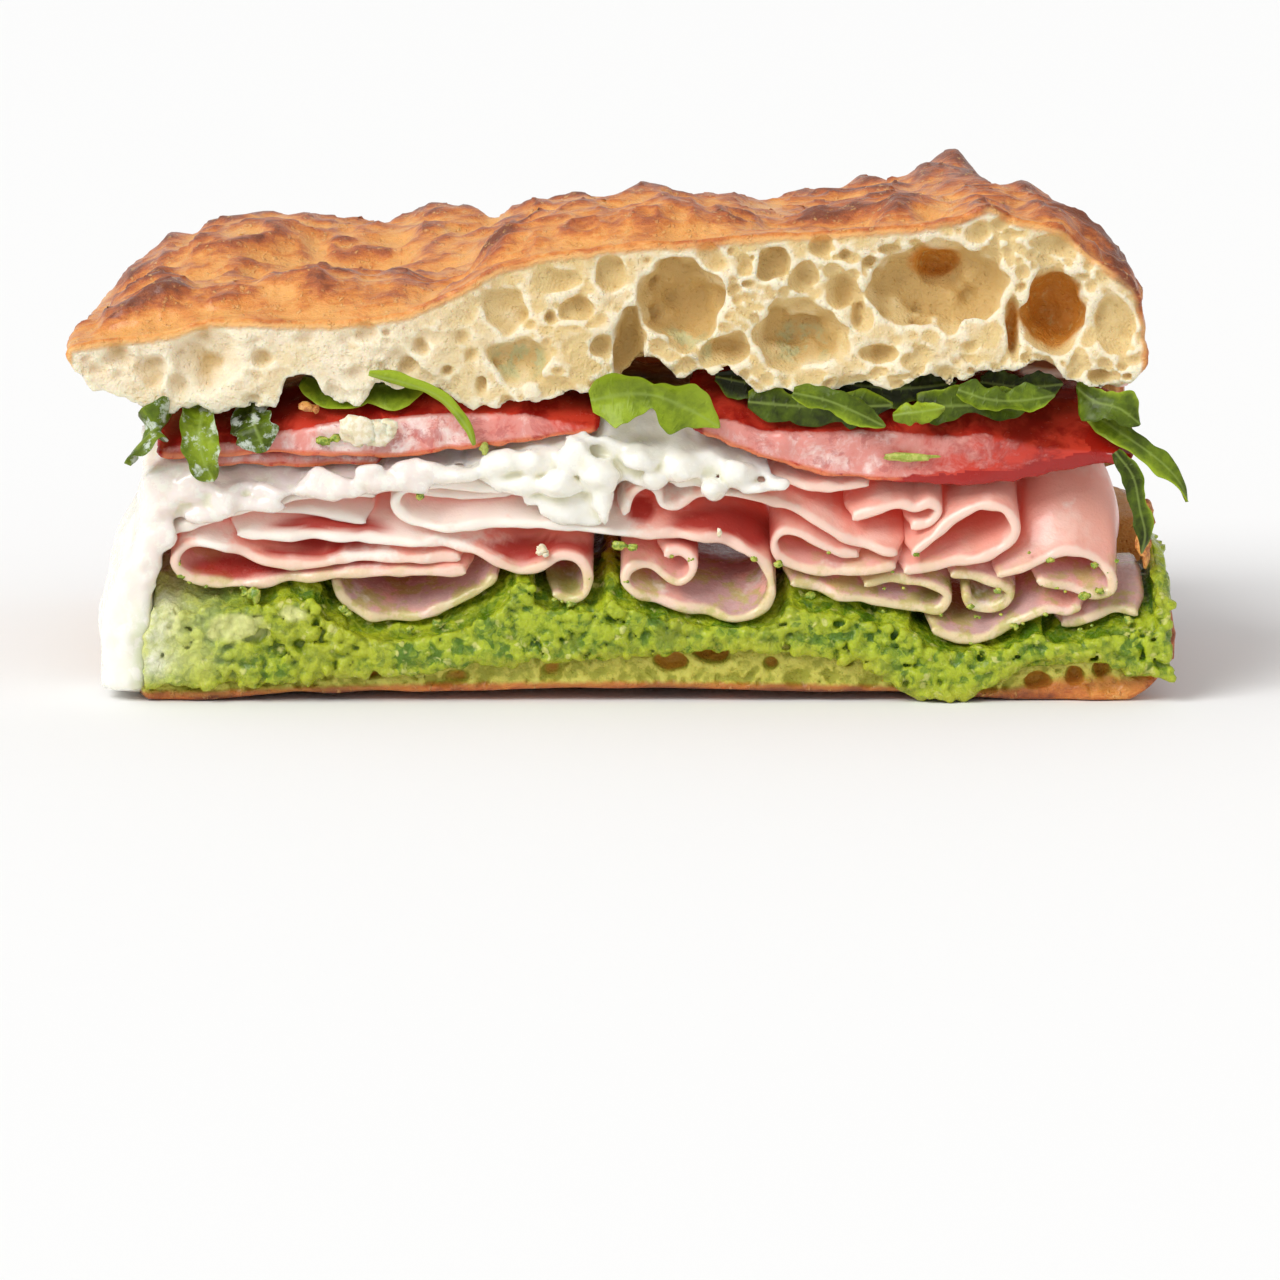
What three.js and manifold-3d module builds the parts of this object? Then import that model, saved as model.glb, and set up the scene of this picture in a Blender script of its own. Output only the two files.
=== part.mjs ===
// One half of a mortadella sandwich on flat bread, as cut, with its cut face to the front.
// Millimetres, +X to the right, +Y away from the cut face, +Z up.
import * as THREE from "three";
import { mergeVertices } from "three/addons/utils/BufferGeometryUtils.js";
import Module from "manifold-3d";

const wasm = await Module();
wasm.setup();

// Driving dimensions. Every shape is drawn in the cut face as x and z, and runs back from it by a depth.
const cutDepth = 80; // knife cut at the front to baked edge at the back
const topLeft = -68.3; // left end of the upper bread
const topRight = 66.3;
const bottomLeft = -59.6;
const bottomRight = 69.3;
const sliceThickness = 1.1; // one slice of mortadella
const leafThickness = 0.5;
const gap = 0.35; // air between neighbours
const lean = 1.5; // how far the layers lean sideways and sway up and down towards the back
const sway = 1.1;
const lift = 5; // how far the filling rises just behind the cut, so that its folds slope up and back
const archHeight = 1.2; // the underside lifts off the table between its two ends
const archHalf = 52;
const seamTop = 18; // the upper bread's baked edge comes down to here at the back, before the lift
const seamBottom = 12; // the lower bread's baked edge rises to here
const fillingReach = 68; // no filling goes further back than this

const clamp = (t, low = 0, high = 1) => Math.min(high, Math.max(low, t));
const mix = (a, b, t) => a + (b - a) * t;
const smooth = (t) => {
  const c = clamp(t);
  return c * c * (3 - 2 * c);
};

// A line of [x, z] points as a height over x.
function line(points) {
  return (x) => {
    const last = points.length - 1;
    if (x <= points[0][0]) return points[0][1];
    if (x >= points[last][0]) return points[last][1];
    const i = points.findIndex((p) => p[0] > x) - 1;
    const [x0, z0] = points[i];
    const [x1, z1] = points[i + 1];
    return mix(z0, z1, (x - x0) / (x1 - x0));
  };
}

// The share of the lift by depth, and by height: the crust above and the base below stay where they are.
const kinks = [4, 9];
const behindCut = line([[0, 0], [kinks[0], 0.62], [kinks[1], 1]]);
const amongLayers = line([[3, 0], [9, 1], [37, 1], [46, 0]]);

// All layers rise, lean and sway alike, so none crosses another. The cut face itself stays as drawn.
function settle(x, depth, z) {
  const inward = smooth(depth / cutDepth);
  const lifted = smooth(z / 14);
  const sideways = inward * lifted * lean * Math.sin(0.03 * depth + 0.06 * z);
  const upward = inward * lifted * sway * Math.sin(0.085 * x + 0.045 * depth);
  return new THREE.Vector3(x + sideways, depth, z + upward + lift * behindCut(depth) * amongLayers(z));
}

// A closed geometry from points and triangles, turned outwards where it came out inside out.
function closed(points, triangles) {
  let volume = 0;
  for (const [a, b, c] of triangles)
    volume += points[a].dot(new THREE.Vector3().crossVectors(points[b], points[c])) / 6;
  const order = volume < 0 ? triangles.map(([a, b, c]) => [a, c, b]) : triangles;
  const geometry = new THREE.BufferGeometry();
  const positions = points.flatMap((p) => [p.x, p.y, p.z]);
  geometry.setAttribute("position", new THREE.Float32BufferAttribute(positions, 3));
  geometry.setIndex(order.flat());
  return geometry;
}

// A slab between two skins over the same grid. Its rim has extra rows that may bulge.
function slab({ columns, rows, upper, lower, rimRows = 1, bulge = () => [0, 0] }) {
  const points = [];
  const triangles = [];
  const wide = columns.length;
  const index = (skin, i, j) => skin * wide * rows.length + j * wide + i;
  for (const skin of [upper, lower])
    for (const v of rows) for (const u of columns) points.push(settle(...skin(u, v)));
  for (let j = 0; j < rows.length - 1; j++)
    for (let i = 0; i < wide - 1; i++) {
      const [a, b] = [index(0, i, j), index(0, i + 1, j)];
      const [c, d] = [index(0, i + 1, j + 1), index(0, i, j + 1)];
      const under = wide * rows.length;
      triangles.push([a, b, c], [a, c, d]);
      triangles.push([a + under, c + under, b + under], [a + under, d + under, c + under]);
    }
  const rim = [];
  for (let i = 0; i < wide - 1; i++) rim.push([i, 0]);
  for (let j = 0; j < rows.length - 1; j++) rim.push([wide - 1, j]);
  for (let i = wide - 1; i > 0; i--) rim.push([i, rows.length - 1]);
  for (let j = rows.length - 1; j > 0; j--) rim.push([0, j]);
  const ladder = rim.map(([i, j]) => {
    const [high, low] = [upper(columns[i], rows[j]), lower(columns[i], rows[j])];
    const steps = [index(0, i, j)];
    for (let k = 1; k < rimRows; k++) {
      const t = k / rimRows;
      const [outX, outDepth] = bulge(columns[i], rows[j], t);
      const at = high.map((value, axis) => mix(value, low[axis], t));
      points.push(settle(at[0] + outX, at[1] + outDepth, at[2]));
      steps.push(points.length - 1);
    }
    return [...steps, index(1, i, j)];
  });
  ladder.forEach((here, k) => {
    const next = ladder[(k + 1) % ladder.length];
    for (let s = 0; s < rimRows; s++)
      triangles.push([here[s + 1], next[s + 1], next[s]], [here[s + 1], next[s], here[s]]);
  });
  return closed(points, triangles);
}

function steps(from, to, count) {
  return Array.from({ length: count + 1 }, (_, i) => mix(from, to, i / count));
}

// A smooth curve through the drawn points, thinned to the points that its bends need.
function bend(drawn, tolerance = 0.22) {
  const curve = new THREE.CatmullRomCurve3(drawn.map(([x, z]) => new THREE.Vector3(x, 0, z)));
  const fine = curve.getPoints((drawn.length - 1) * 8).map((p) => [p.x, p.z]);
  const keep = new Set([0, fine.length - 1]);
  const thin = (from, to) => {
    const [[ax, az], [bx, bz]] = [fine[from], fine[to]];
    const length = Math.hypot(bx - ax, bz - az) || 1;
    let [worst, at] = [0, -1];
    for (let i = from + 1; i < to; i++) {
      const off = Math.abs((bx - ax) * (fine[i][1] - az) - (bz - az) * (fine[i][0] - ax)) / length;
      if (off > worst) [worst, at] = [off, i];
    }
    if (worst <= tolerance) return;
    keep.add(at);
    thin(from, at);
    thin(at, to);
  };
  const middle = Math.floor(fine.length / 2);
  keep.add(middle);
  thin(0, middle);
  thin(middle, fine.length - 1);
  return { fine, kept: [...keep].sort((a, b) => a - b) };
}

// The two faces of a slice seen edge on, half a thickness each side of its middle line.
function faces(middle, thickness) {
  return middle.map(([x, z], i) => {
    const [px, pz] = middle[Math.max(0, i - 1)];
    const [nx, nz] = middle[Math.min(middle.length - 1, i + 1)];
    const length = Math.hypot(nx - px, nz - pz);
    const half = (thickness / 2) * (i === 0 || i === middle.length - 1 ? 0.7 : 1);
    const side = [(-(nz - pz) / length) * half, ((nx - px) / length) * half];
    return [[x + side[0], z + side[1]], [x - side[0], z - side[1]]];
  });
}

// Folded slices of mortadella, from the left: the middle line of each as it shows in the cut face,
// and the depths where it starts and ends. A fold may open towards the back into the line given as inner.
const slices = [
  { drawn: [[-60.9, 9.6], [-59.9, 13.2], [-58.5, 16.6], [-56.6, 19.5], [-54.1, 21.3], [-47.2, 23.3],
            [-37.9, 25.5], [-33.1, 25.8], [-29.9, 25.2]], from: 0.4, to: 63 },
  { drawn: [[-44.6, 22.5], [-39.6, 22.3], [-31.1, 21.4]], from: 1.6, to: 48 },
  { drawn: [[-47.1, 20.7], [-38.8, 20.5], [-26.9, 19.9], [-21.2, 19.5], [-17.1, 18.7], [-14.4, 17.3],
            [-11.9, 16.3], [-9.2, 16.8], [-6.9, 17.9], [-4.6, 17.5], [-3.4, 15.6], [-3.8, 13.5],
            [-5.6, 12.4], [-7.8, 13.1]], from: 0, to: 66 },
  { drawn: [[-18.6, 16.0], [-28.1, 16.2], [-33.1, 16.0], [-39.4, 15.3], [-45.6, 14.5], [-50.9, 14.6],
            [-53.9, 15.8], [-54.9, 17.6], [-53.8, 19.2], [-51.2, 19.7], [-47.9, 19.0], [-45.1, 17.8],
            [-41.2, 17.1], [-37.1, 17.2], [-32.9, 17.8], [-27.9, 17.8], [-19.3, 17.5]], from: 0, to: 60 },
  { drawn: [[-35.2, 13.9], [-34.1, 11.7], [-31.2, 9.9], [-26.9, 9.1], [-21.9, 10.2], [-17.5, 12.4],
            [-14.8, 14.7]], from: 1.2, to: 52 },
  { drawn: [[-13.8, 26.1], [-22.9, 27.2], [-26.2, 26.6], [-27.4, 24.6], [-25.9, 22.7], [-21.9, 21.8],
            [-16.2, 22.2], [-9.4, 22.2], [4.4, 20.7], [10.6, 20.4], [15.4, 19.2], [18.4, 16.7],
            [19.2, 13.8], [18.1, 11.3], [15.4, 10.3], [10.6, 11.1], [3.1, 13.2], [1.2, 14.9],
            [2.0, 16.5], [4.1, 16.6], [7.9, 14.8], [9.5, 16.0], [9.6, 17.6], [8.1, 18.4],
            [6.1, 18.1]], from: 0, to: 65 },
  { drawn: [[-24.2, 24.7], [-21.2, 24.3], [-11.6, 24.3]], from: 2.2, to: 50 },
  { drawn: [[1.1, 23.4], [2.0, 25.7], [3.8, 26.8], [5.2, 25.9], [5.9, 24.1], [7.6, 23.8], [9.8, 25.2],
            [12.6, 26.0], [16.2, 25.6], [23.8, 22.9], [29.6, 19.6], [32.6, 18.9],
            [35.2, 18.3]], from: 0.2, to: 58 },
  { drawn: [[14.8, 27.9], [19.1, 26.9], [23.1, 26.1], [27.5, 26.1], [31.6, 26.3]], from: 1, to: 44 },
  { drawn: [[29.6, 22.0], [32.4, 23.2], [35.6, 23.9], [37.4, 23.5], [39.2, 24.2], [40.3, 23.3],
            [39.4, 21.7], [36.9, 20.9]], from: 0.8, to: 30 },
  { drawn: [[30.4, 17.5], [27.9, 18.1], [25.4, 19.3], [23.1, 20.4], [21.2, 20.6], [20.6, 19.4],
            [20.8, 17.6], [22.2, 16.3], [25.0, 15.7], [29.1, 15.8], [32.5, 16.2],
            [35.0, 16.5]], from: 0.4, to: 56 },
  { drawn: [[37.0, 18.3], [39.4, 20.1], [42.5, 22.6], [45.6, 24.3], [48.4, 24.0], [49.9, 21.7],
            [49.0, 19.4], [46.2, 17.8], [41.2, 16.7], [36.0, 16.1]], from: 0.1, to: 54 },
  { drawn: [[47.6, 15.8], [49.6, 16.3], [52.9, 17.4], [56.4, 18.5], [59.6, 17.5], [61.9, 15.5],
            [61.9, 13.8], [59.4, 13.2], [55.6, 14.2], [52.6, 15.0]],
    inner: [[49.8, 15.4], [51.4, 18.0], [52.2, 22.4], [55.0, 26.0], [59.4, 25.6], [62.3, 20.4],
            [62.6, 14.8], [59.8, 13.3], [56.0, 14.2], [53.2, 15.2]], opens: 9, from: 0, to: 31 },
  { drawn: [[31.1, 14.0], [35.4, 14.4], [39.4, 13.9], [41.5, 12.6], [40.6, 10.9], [37.5, 10.8],
            [33.1, 11.5], [29.1, 12.5], [21.9, 14.0]], from: 0.6, to: 50 },
  { drawn: [[43.8, 12.9], [44.3, 11.4], [46.2, 10.6], [48.5, 11.4], [49.4, 12.9], [48.2, 13.9],
            [46.2, 14.3], [41.9, 15.0]], from: 0.9, to: 40 },
  { drawn: [[39.6, 8.9], [41.9, 8.0], [45.0, 7.6], [48.5, 8.6], [51.9, 10.4], [54.4, 11.2],
            [56.5, 10.8], [58.2, 11.4]], from: 0.3, to: 34 },
  { drawn: [[55.9, 8.5], [58.8, 9.4], [61.9, 10.1], [65.4, 10.3]], from: 0.9, to: 19 },
  { drawn: [[51.0, 35.4], [56.0, 35.0], [60.0, 34.7], [64.0, 33.7]], from: 11, to: 28 },
];

function sliceSolid({ drawn, inner, opens = 1, from, to }) {
  const { fine, kept } = bend(drawn);
  const opened = inner ? bend(inner).fine : fine;
  const halfway = mix(Math.max(from, kinks[1]), to, 0.5);
  const early = inner ? [2, ...kinks] : kinks;
  const stations = [from, ...early.filter((depth) => depth > from), halfway, to];
  const points = [];
  const triangles = [];
  const ring = kept.length * 2;
  for (const depth of stations) {
    const t = smooth((depth - from) / opens) * (inner ? 1 : 0);
    const middle = kept.map((i) => fine[i].map((value, axis) => mix(value, opened[i][axis], t)));
    const pair = faces(middle, sliceThickness);
    for (const side of [pair.map((p) => p[0]), pair.map((p) => p[1]).reverse()])
      for (const [x, z] of side) points.push(settle(x, depth, z));
  }
  for (let s = 0; s < stations.length - 1; s++)
    for (let i = 0; i < ring; i++) {
      const [a, b] = [s * ring + i, s * ring + ((i + 1) % ring)];
      triangles.push([a, b, b + ring], [a, b + ring, a + ring]);
    }
  const end = (stations.length - 1) * ring;
  for (let i = 0; i < kept.length - 1; i++) {
    const [a, b] = [i, i + 1];
    const [c, d] = [ring - 2 - i, ring - 1 - i];
    triangles.push([a, c, b], [a, d, c], [end + a, end + b, end + c], [end + a, end + c, end + d]);
  }
  return closed(points, triangles);
}

// The lowest and highest that any slice reaches near x, with air kept.
const reach = 2.4;
const sunk = 0.15; // the slices lie this much deeper in the pesto's dent than air alone would put them
const lines = slices.slice(0, -1).flatMap(({ drawn, inner }) => [drawn, inner ?? drawn]);
const sliceMarks = lines.flatMap((drawn) => bend(drawn).fine);
const heightsNear = (x) => sliceMarks.filter((p) => Math.abs(p[0] - x) < reach).map((p) => p[1]);
const belowSlices = (x) => Math.min(...heightsNear(x), crumbEdge(x)) - sliceThickness / 2 - gap - sunk;
const aboveSlices = (x) => Math.max(...heightsNear(x), 0) + sliceThickness / 2 + gap;

// Upper bread: crust line of the cut face, body of the loaf behind it, and the torn lower edge of the crumb.
const crustLine = line([
  [-68.3, 45], [-64, 45.8], [-56, 46.6], [-50, 48.3], [-34, 47.9], [-26, 49], [-19.4, 52.1], [-14.4, 54.7],
  [-8.8, 56.3], [5, 57.9], [20, 59], [35.6, 59.8], [43.1, 61.2], [46.2, 62.6], [49.4, 60.9], [55.6, 59.7],
  [60, 55.6], [64.4, 52.4], [66.3, 46.5],
]);
// The crust over the crest near the cut, and over the back, where it is lower at both ends.
const nearLine = line([
  [-68.3, 45.4], [-64.8, 46.3], [-64.2, 48.2], [-62.3, 49.8], [-58.6, 51.8], [-55.4, 51.9], [-52.3, 50.9],
  [-49.7, 51.9], [-45.3, 51.9], [-43.5, 53], [-36, 53.4], [-27.1, 52.9], [-24, 51.9], [-18.3, 52.2],
  [-15.8, 55.8], [-13.9, 57.7], [-9, 59.2], [0, 60.2], [6.5, 61.5], [12, 60.2], [20, 60], [31, 61],
  [40, 61.8], [46, 62.8], [53.1, 62.7], [55.6, 61.2], [58.8, 59.2], [61.3, 57.5], [64.4, 54.2], [66.3, 50.5],
]);
const farLine = line([
  [-68.3, 44], [-64.3, 49], [-60.6, 51.6], [-59.3, 53.1], [-55.9, 53.1], [-54.5, 55.6], [-49.1, 56.8],
  [-40.3, 56], [-28.1, 54.8], [-23.3, 55.9], [-18.6, 55.7], [-15.9, 54.3], [-12.5, 55.8], [-9.1, 57],
  [3.1, 58.4], [16, 58.6], [22.8, 58.5], [30.9, 61], [39.7, 61.3], [42.4, 62.8], [46.5, 63.6], [49.9, 61.9],
  [51.9, 58.5], [56, 54], [60, 50], [66.3, 45],
]);
const crumbEdge = line([
  [-68.3, 43.4], [-66, 40.8], [-64, 38.6], [-58, 37.2], [-52, 37], [-42, 37.2], [-40.6, 40.2], [-38.5, 41.4],
  [-36.2, 38.6], [-32, 37.8], [-29, 39], [-22, 38.6], [-19, 37.4], [-15, 37.4], [-13, 38.4], [-7, 38.4],
  [0, 40], [2.8, 43], [6, 41.4], [12, 41.4], [14.4, 42.4], [18, 39.6], [30, 39.9], [38.8, 41.4], [41, 40],
  [48, 41.7], [53.1, 43], [56, 40.6], [63.8, 39.6], [66.3, 41],
]);
const hills = [
  { x: -36, depth: 31, rise: -3.4, radius: 13 }, { x: -56, depth: 32, rise: -1.8, radius: 9 },
  { x: -6, depth: 20, rise: 0.8, radius: 6 }, { x: 7, depth: 30, rise: 1.6, radius: 6 },
  { x: 22, depth: 24, rise: -1.6, radius: 8 }, { x: 34, depth: 14, rise: 0.9, radius: 6 },
  { x: 24, depth: 44, rise: 0.8, radius: 7 }, { x: 42, depth: 32, rise: -1.2, radius: 8 },
  { x: -28, depth: 10, rise: 0.6, radius: 6 }, { x: -46, depth: 58, rise: 0.8, radius: 7 },
];
// Crags of the crust, smaller than its hills: blisters that lie side by side without a pattern.
function crags(x, depth) {
  const across = Math.sin(0.36 * x + 1.3 * Math.sin(0.11 * depth));
  const back = Math.sin(0.29 * depth + 1.1 * Math.sin(0.13 * x));
  return 0.5 * across * back + 0.25 * Math.sin(0.61 * x - 0.23 * depth + 1);
}
const backEdge = { roundFrom: 62, round: 13, drop: 20, wall: 13 };
const sideDroop = (depth) => smooth((depth - 28) / 14); // the right edge hangs only behind the open front
const rightEdge = (base, depth) => base - backEdge.round * clamp((depth - backEdge.roundFrom) / 18) ** 2;
const quarter = (inside, span) => 1 - Math.sqrt(1 - clamp(1 - inside / span) ** 2);

function loafTop(u, depth) {
  const x = mix(topLeft, rightEdge(topRight, depth), u);
  const crest = mix(nearLine(x), farLine(x), smooth((depth - 22) / 26));
  let z = mix(crustLine(x), crest, smooth(depth / 10));
  for (const hill of hills) {
    const away = ((x - hill.x) ** 2 + (depth - hill.depth) ** 2) / hill.radius ** 2;
    z += hill.rise * Math.exp(-away) * smooth(depth / 5);
  }
  z += crags(x, depth) * smooth(depth / 6);
  const side = rightEdge(topRight, depth) - x;
  z = mix(z, seamTop + 4, sideDroop(depth) * quarter(side, backEdge.drop));
  return [x, depth, mix(z, seamTop + 4, quarter(cutDepth - depth, backEdge.drop))];
}

function loafUnder(u, depth) {
  const x = mix(topLeft, rightEdge(topRight, depth), u);
  const inner = mix(crumbEdge(x), 40.6, smooth(depth / 7));
  const side = rightEdge(topRight, depth) - x;
  // The wall at the back starts a little in from the left end.
  const back = smooth((backEdge.wall - cutDepth + depth) / 9) * smooth((x + 64) / 6);
  const hang = Math.max(back, sideDroop(depth) * smooth((9 - side) / 6));
  return [x, depth, mix(inner, seamTop, hang)];
}

// Bubbles of the crumb that the knife opened: x, z, half width, half height, how deep each goes in.
const upperBubbles = [
  [8.1, 49.8, 5.6, 5.1, 5], [1.9, 44.2, 1.9, 4.6, 4.5], [22.9, 45.9, 5.4, 4.3, 4.5],
  [40, 52.6, 8.4, 5, 4.5], [54.2, 49.1, 3.9, 4.8, 6], [-11.7, 42.8, 3.8, 2.8, 3],
  [-13.5, 49.2, 2.9, 2.8, 1.5],
  [-0.6, 53.6, 2.1, 2.4, 1.8], [-4.4, 49.5, 2.1, 1.7, 1.8], [-7.2, 53.0, 3.2, 1.6, 1.2],
  [19.4, 55.0, 1.9, 2.4, 2.4], [23.2, 53.2, 1.9, 1.9, 1.6], [28.2, 51.3, 2.2, 2.4, 2.2],
  [-50.6, 43, 3.8, 4.0, 2], [61.6, 47.4, 2.6, 3.6, 1.6],
];
const lowerBubbles = [
  [-41.6, 3.1, 1.7, 1.1, 2], [-30.4, 3.5, 2.3, 0.8, 2], [6.9, 4.9, 2.5, 1.2, 2.6], [12.0, 6.0, 2.5, 1.3, 3],
  [53, 2.6, 1.9, 1.1, 2.4], [63.4, 4.0, 1.4, 1.5, 2.6],
];

function solidOf(geometry) {
  const bare = geometry.clone();
  bare.deleteAttribute("normal");
  bare.deleteAttribute("uv");
  const merged = mergeVertices(bare, 1e-4);
  const mesh = new wasm.Mesh({
    numProp: 3,
    vertProperties: Float32Array.from(merged.attributes.position.array),
    triVerts: Uint32Array.from(merged.index.array),
  });
  return new wasm.Manifold(mesh);
}

function geometryOf(solid) {
  const mesh = solid.getMesh();
  const geometry = new THREE.BufferGeometry();
  geometry.setAttribute("position", new THREE.BufferAttribute(Float32Array.from(mesh.vertProperties), 3));
  geometry.setIndex(new THREE.BufferAttribute(Uint32Array.from(mesh.triVerts), 1));
  return geometry;
}

function withBubbles(geometry, bubbles) {
  let solid = solidOf(geometry);
  for (const [x, z, halfWidth, halfHeight, deep] of bubbles) {
    const detail = halfWidth > 5.5 ? 2 : 1;
    const bubble = new THREE.IcosahedronGeometry(1, detail);
    bubble.scale(halfWidth * 1.04, deep, halfHeight * 1.04).translate(x, -0.15 * deep, z);
    solid = solid.subtract(solidOf(bubble));
  }
  return geometryOf(solid);
}

function upperBread() {
  const rows = [0, ...kinks, 16, 27, 39, 51, 61, 67, 71.5, 75, 78.5, 80];
  const crust = slab({ columns: steps(0, 1, 29), rows, upper: loafTop, lower: loafUnder });
  return withBubbles(crust, upperBubbles);
}

// Lower bread: the bed that the filling presses into, and the baked edge that rises round it.
const bedLine = line([
  [-59.6, 6.4], [-40, 6], [-12, 6], [0, 6.8], [10, 8.2], [28, 7.8], [38, 5.4], [50, 4.6], [62, 5.4],
  [69.3, 8.6],
]);
const rimHeight = (side, depth) => {
  const back = smooth((10 - cutDepth + depth) / 6);
  const right = smooth((depth - 33) / 7) * smooth((8.5 - side) / 5);
  return Math.max(back, right);
};

function bed(x, depth) {
  const side = rightEdge(bottomRight, depth) - x;
  return mix(bedLine(x), seamBottom, rimHeight(side, depth));
}

function underCrust(x, depth) {
  const arch = archHeight * clamp(1 - (x / archHalf) ** 2);
  const side = rightEdge(bottomRight, depth) - x;
  const lifted = Math.max(clamp(1 - (cutDepth - depth) / 7), clamp(1 - side / 5.5));
  return arch + 4 * lifted ** 2;
}

function lowerBread() {
  const rows = [0, ...kinks, 20, 32, 40, 54, 69, 73, 76, 78.8, 80];
  const acrossAt = (u, depth) => mix(bottomLeft, rightEdge(bottomRight, depth), u);
  const columns = [...steps(0, 0.86, 17), 0.9, 0.925, 0.95, 0.975, 1];
  const loaf = slab({
    columns,
    rows,
    upper: (u, depth) => [acrossAt(u, depth), depth, bed(acrossAt(u, depth), depth)],
    lower: (u, depth) => [acrossAt(u, depth), depth, underCrust(acrossAt(u, depth), depth)],
    rimRows: 3,
    bulge: (u, depth) => [u === 1 ? 0.8 : 0, depth === cutDepth ? 1.2 : 0],
  });
  return withBubbles(loaf, lowerBubbles);
}

// Pesto, spread over the lower bread up to the slices that press into it.
const pestoLine = line([
  [-58.6, 12.2], [-54, 11.6], [-46, 12.2], [-38, 13.2], [-33.8, 14.2], [-14, 15.2], [-2, 14.4], [3, 12],
  [20, 12.4], [33, 9.6], [41, 8.9], [60, 9], [65.8, 9], [66.6, 15.4], [69.4, 12.6],
]);

function pesto() {
  const [left, inner, open, shut] = [-58.8, 54, 69.4, 57.2]; // behind the open front the right end draws in
  const tail = 0.88; // the share of the columns that lie left of inner
  const acrossAt = (u, depth) => {
    if (u <= tail) return mix(left, inner, u / tail);
    const end = mix(open, shut, smooth((depth - 20) / 10));
    return mix(inner, end, (u - tail) / (1 - tail));
  };
  const upper = (u, depth) => {
    const x = acrossAt(u, depth);
    const lump = 0.5 * Math.sin(1.1 * x + 0.3 * depth) * Math.sin(0.5 * depth + 0.2 * x);
    const top = Math.min(pestoLine(x) + lump, belowSlices(x));
    return [x, depth, Math.max(top, bed(x, depth) + gap + 0.6)];
  };
  return slab({
    columns: [...steps(0, tail, 30), 0.91, 0.94, 0.97, 1],
    rows: [-0.6, 0, ...kinks, 20, 30, 48, fillingReach],
    upper,
    lower: (u, depth) => [acrossAt(u, depth), depth, bed(acrossAt(u, depth), depth) + gap],
    rimRows: 2,
    bulge: (u, depth) => [0, depth < 0 ? -0.8 - 0.5 * Math.sin(40 * u) : 0],
  });
}

// Tomato slices: a round slice cut by the knife, so its front is a chord.
const tomatoes = {
  tomato_left: {
    middle: -29.4, radius: 27.2, centreDepth: 3, from: 0, rise: 0.8, skin: 0.7,
    top: line([[-56.5, 31.4], [-53.8, 32.2], [-47, 32.2], [-40.6, 33.4], [-33.8, 34.8], [-22, 35.6],
               [-14, 36.1], [-3, 35.2]]),
    under: line([[-56.5, 30.4], [-42.5, 30.8], [-27, 30.2], [-17, 31.5], [-3, 33.0]]),
  },
  tomato_left_lower: {
    middle: -39.8, radius: 11, centreDepth: 5, from: 1.4, rise: 0, skin: 0.4,
    top: line([[-50, 29.6], [-20, 29.7]]),
    under: line([[-50, 28.1], [-20, 28.3]]),
  },
  tomato_right: {
    middle: 36.9, radius: 26.6, centreDepth: 4, from: 0, rise: 1.8, skin: 1.2,
    top: line([[10.6, 34.8], [14, 35.2], [18, 33.6], [36, 33.3], [46, 33.2], [53, 31.6], [63.2, 31.2]]),
    under: line([[10.6, 33.6], [19.4, 29.9], [26.9, 27.9], [36, 27.3], [43, 27.1], [49, 27.1], [56, 28.8],
                 [63.2, 30]]),
  },
};

function tomato({ middle, radius, centreDepth, from, rise, skin, top, under }) {
  const halfAt = (depth) => Math.sqrt(radius ** 2 - (depth - centreDepth) ** 2);
  const acrossAt = (u, depth) => middle + u * halfAt(depth);
  const far = centreDepth + radius * 0.97;
  const lifted = (depth) => rise * smooth((depth - from) / 16);
  const edge = (u, depth) => clamp(Math.hypot(u * halfAt(depth), depth - centreDepth) / radius);
  const thin = (u, depth) => skin * 0.4 * edge(u, depth) ** 6;
  const face = (height, lift, taper) => (u, depth) => {
    const x = acrossAt(u, depth);
    return [x, depth, height(x) + lift * lifted(depth) + taper * thin(u, depth)];
  };
  return slab({
    columns: steps(-1, 1, 14),
    rows: [from, ...kinks, centreDepth + radius * 0.66, centreDepth + radius * 0.86, far],
    upper: face(top, 1, -1),
    lower: face(under, 0.9, 0.3),
    rimRows: 2,
    bulge: (u, depth) => [u * u === 1 ? u * skin : 0, depth === far ? skin : 0],
  });
}

// Stracciatella: soft cheese between the slices and the tomato, and a run of it down the left side.
const cheeseLine = line([
  [-57.6, 29.2], [-56, 29.6], [-52, 29.5], [-51, 27.5], [-20, 27.7], [-17, 30.4], [-9.4, 31.8], [-4, 32.4],
  [-1, 33.2], [4, 32.6], [9.5, 32], [12, 31.2], [17.6, 29.4], [20.4, 28.6],
]);

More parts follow.
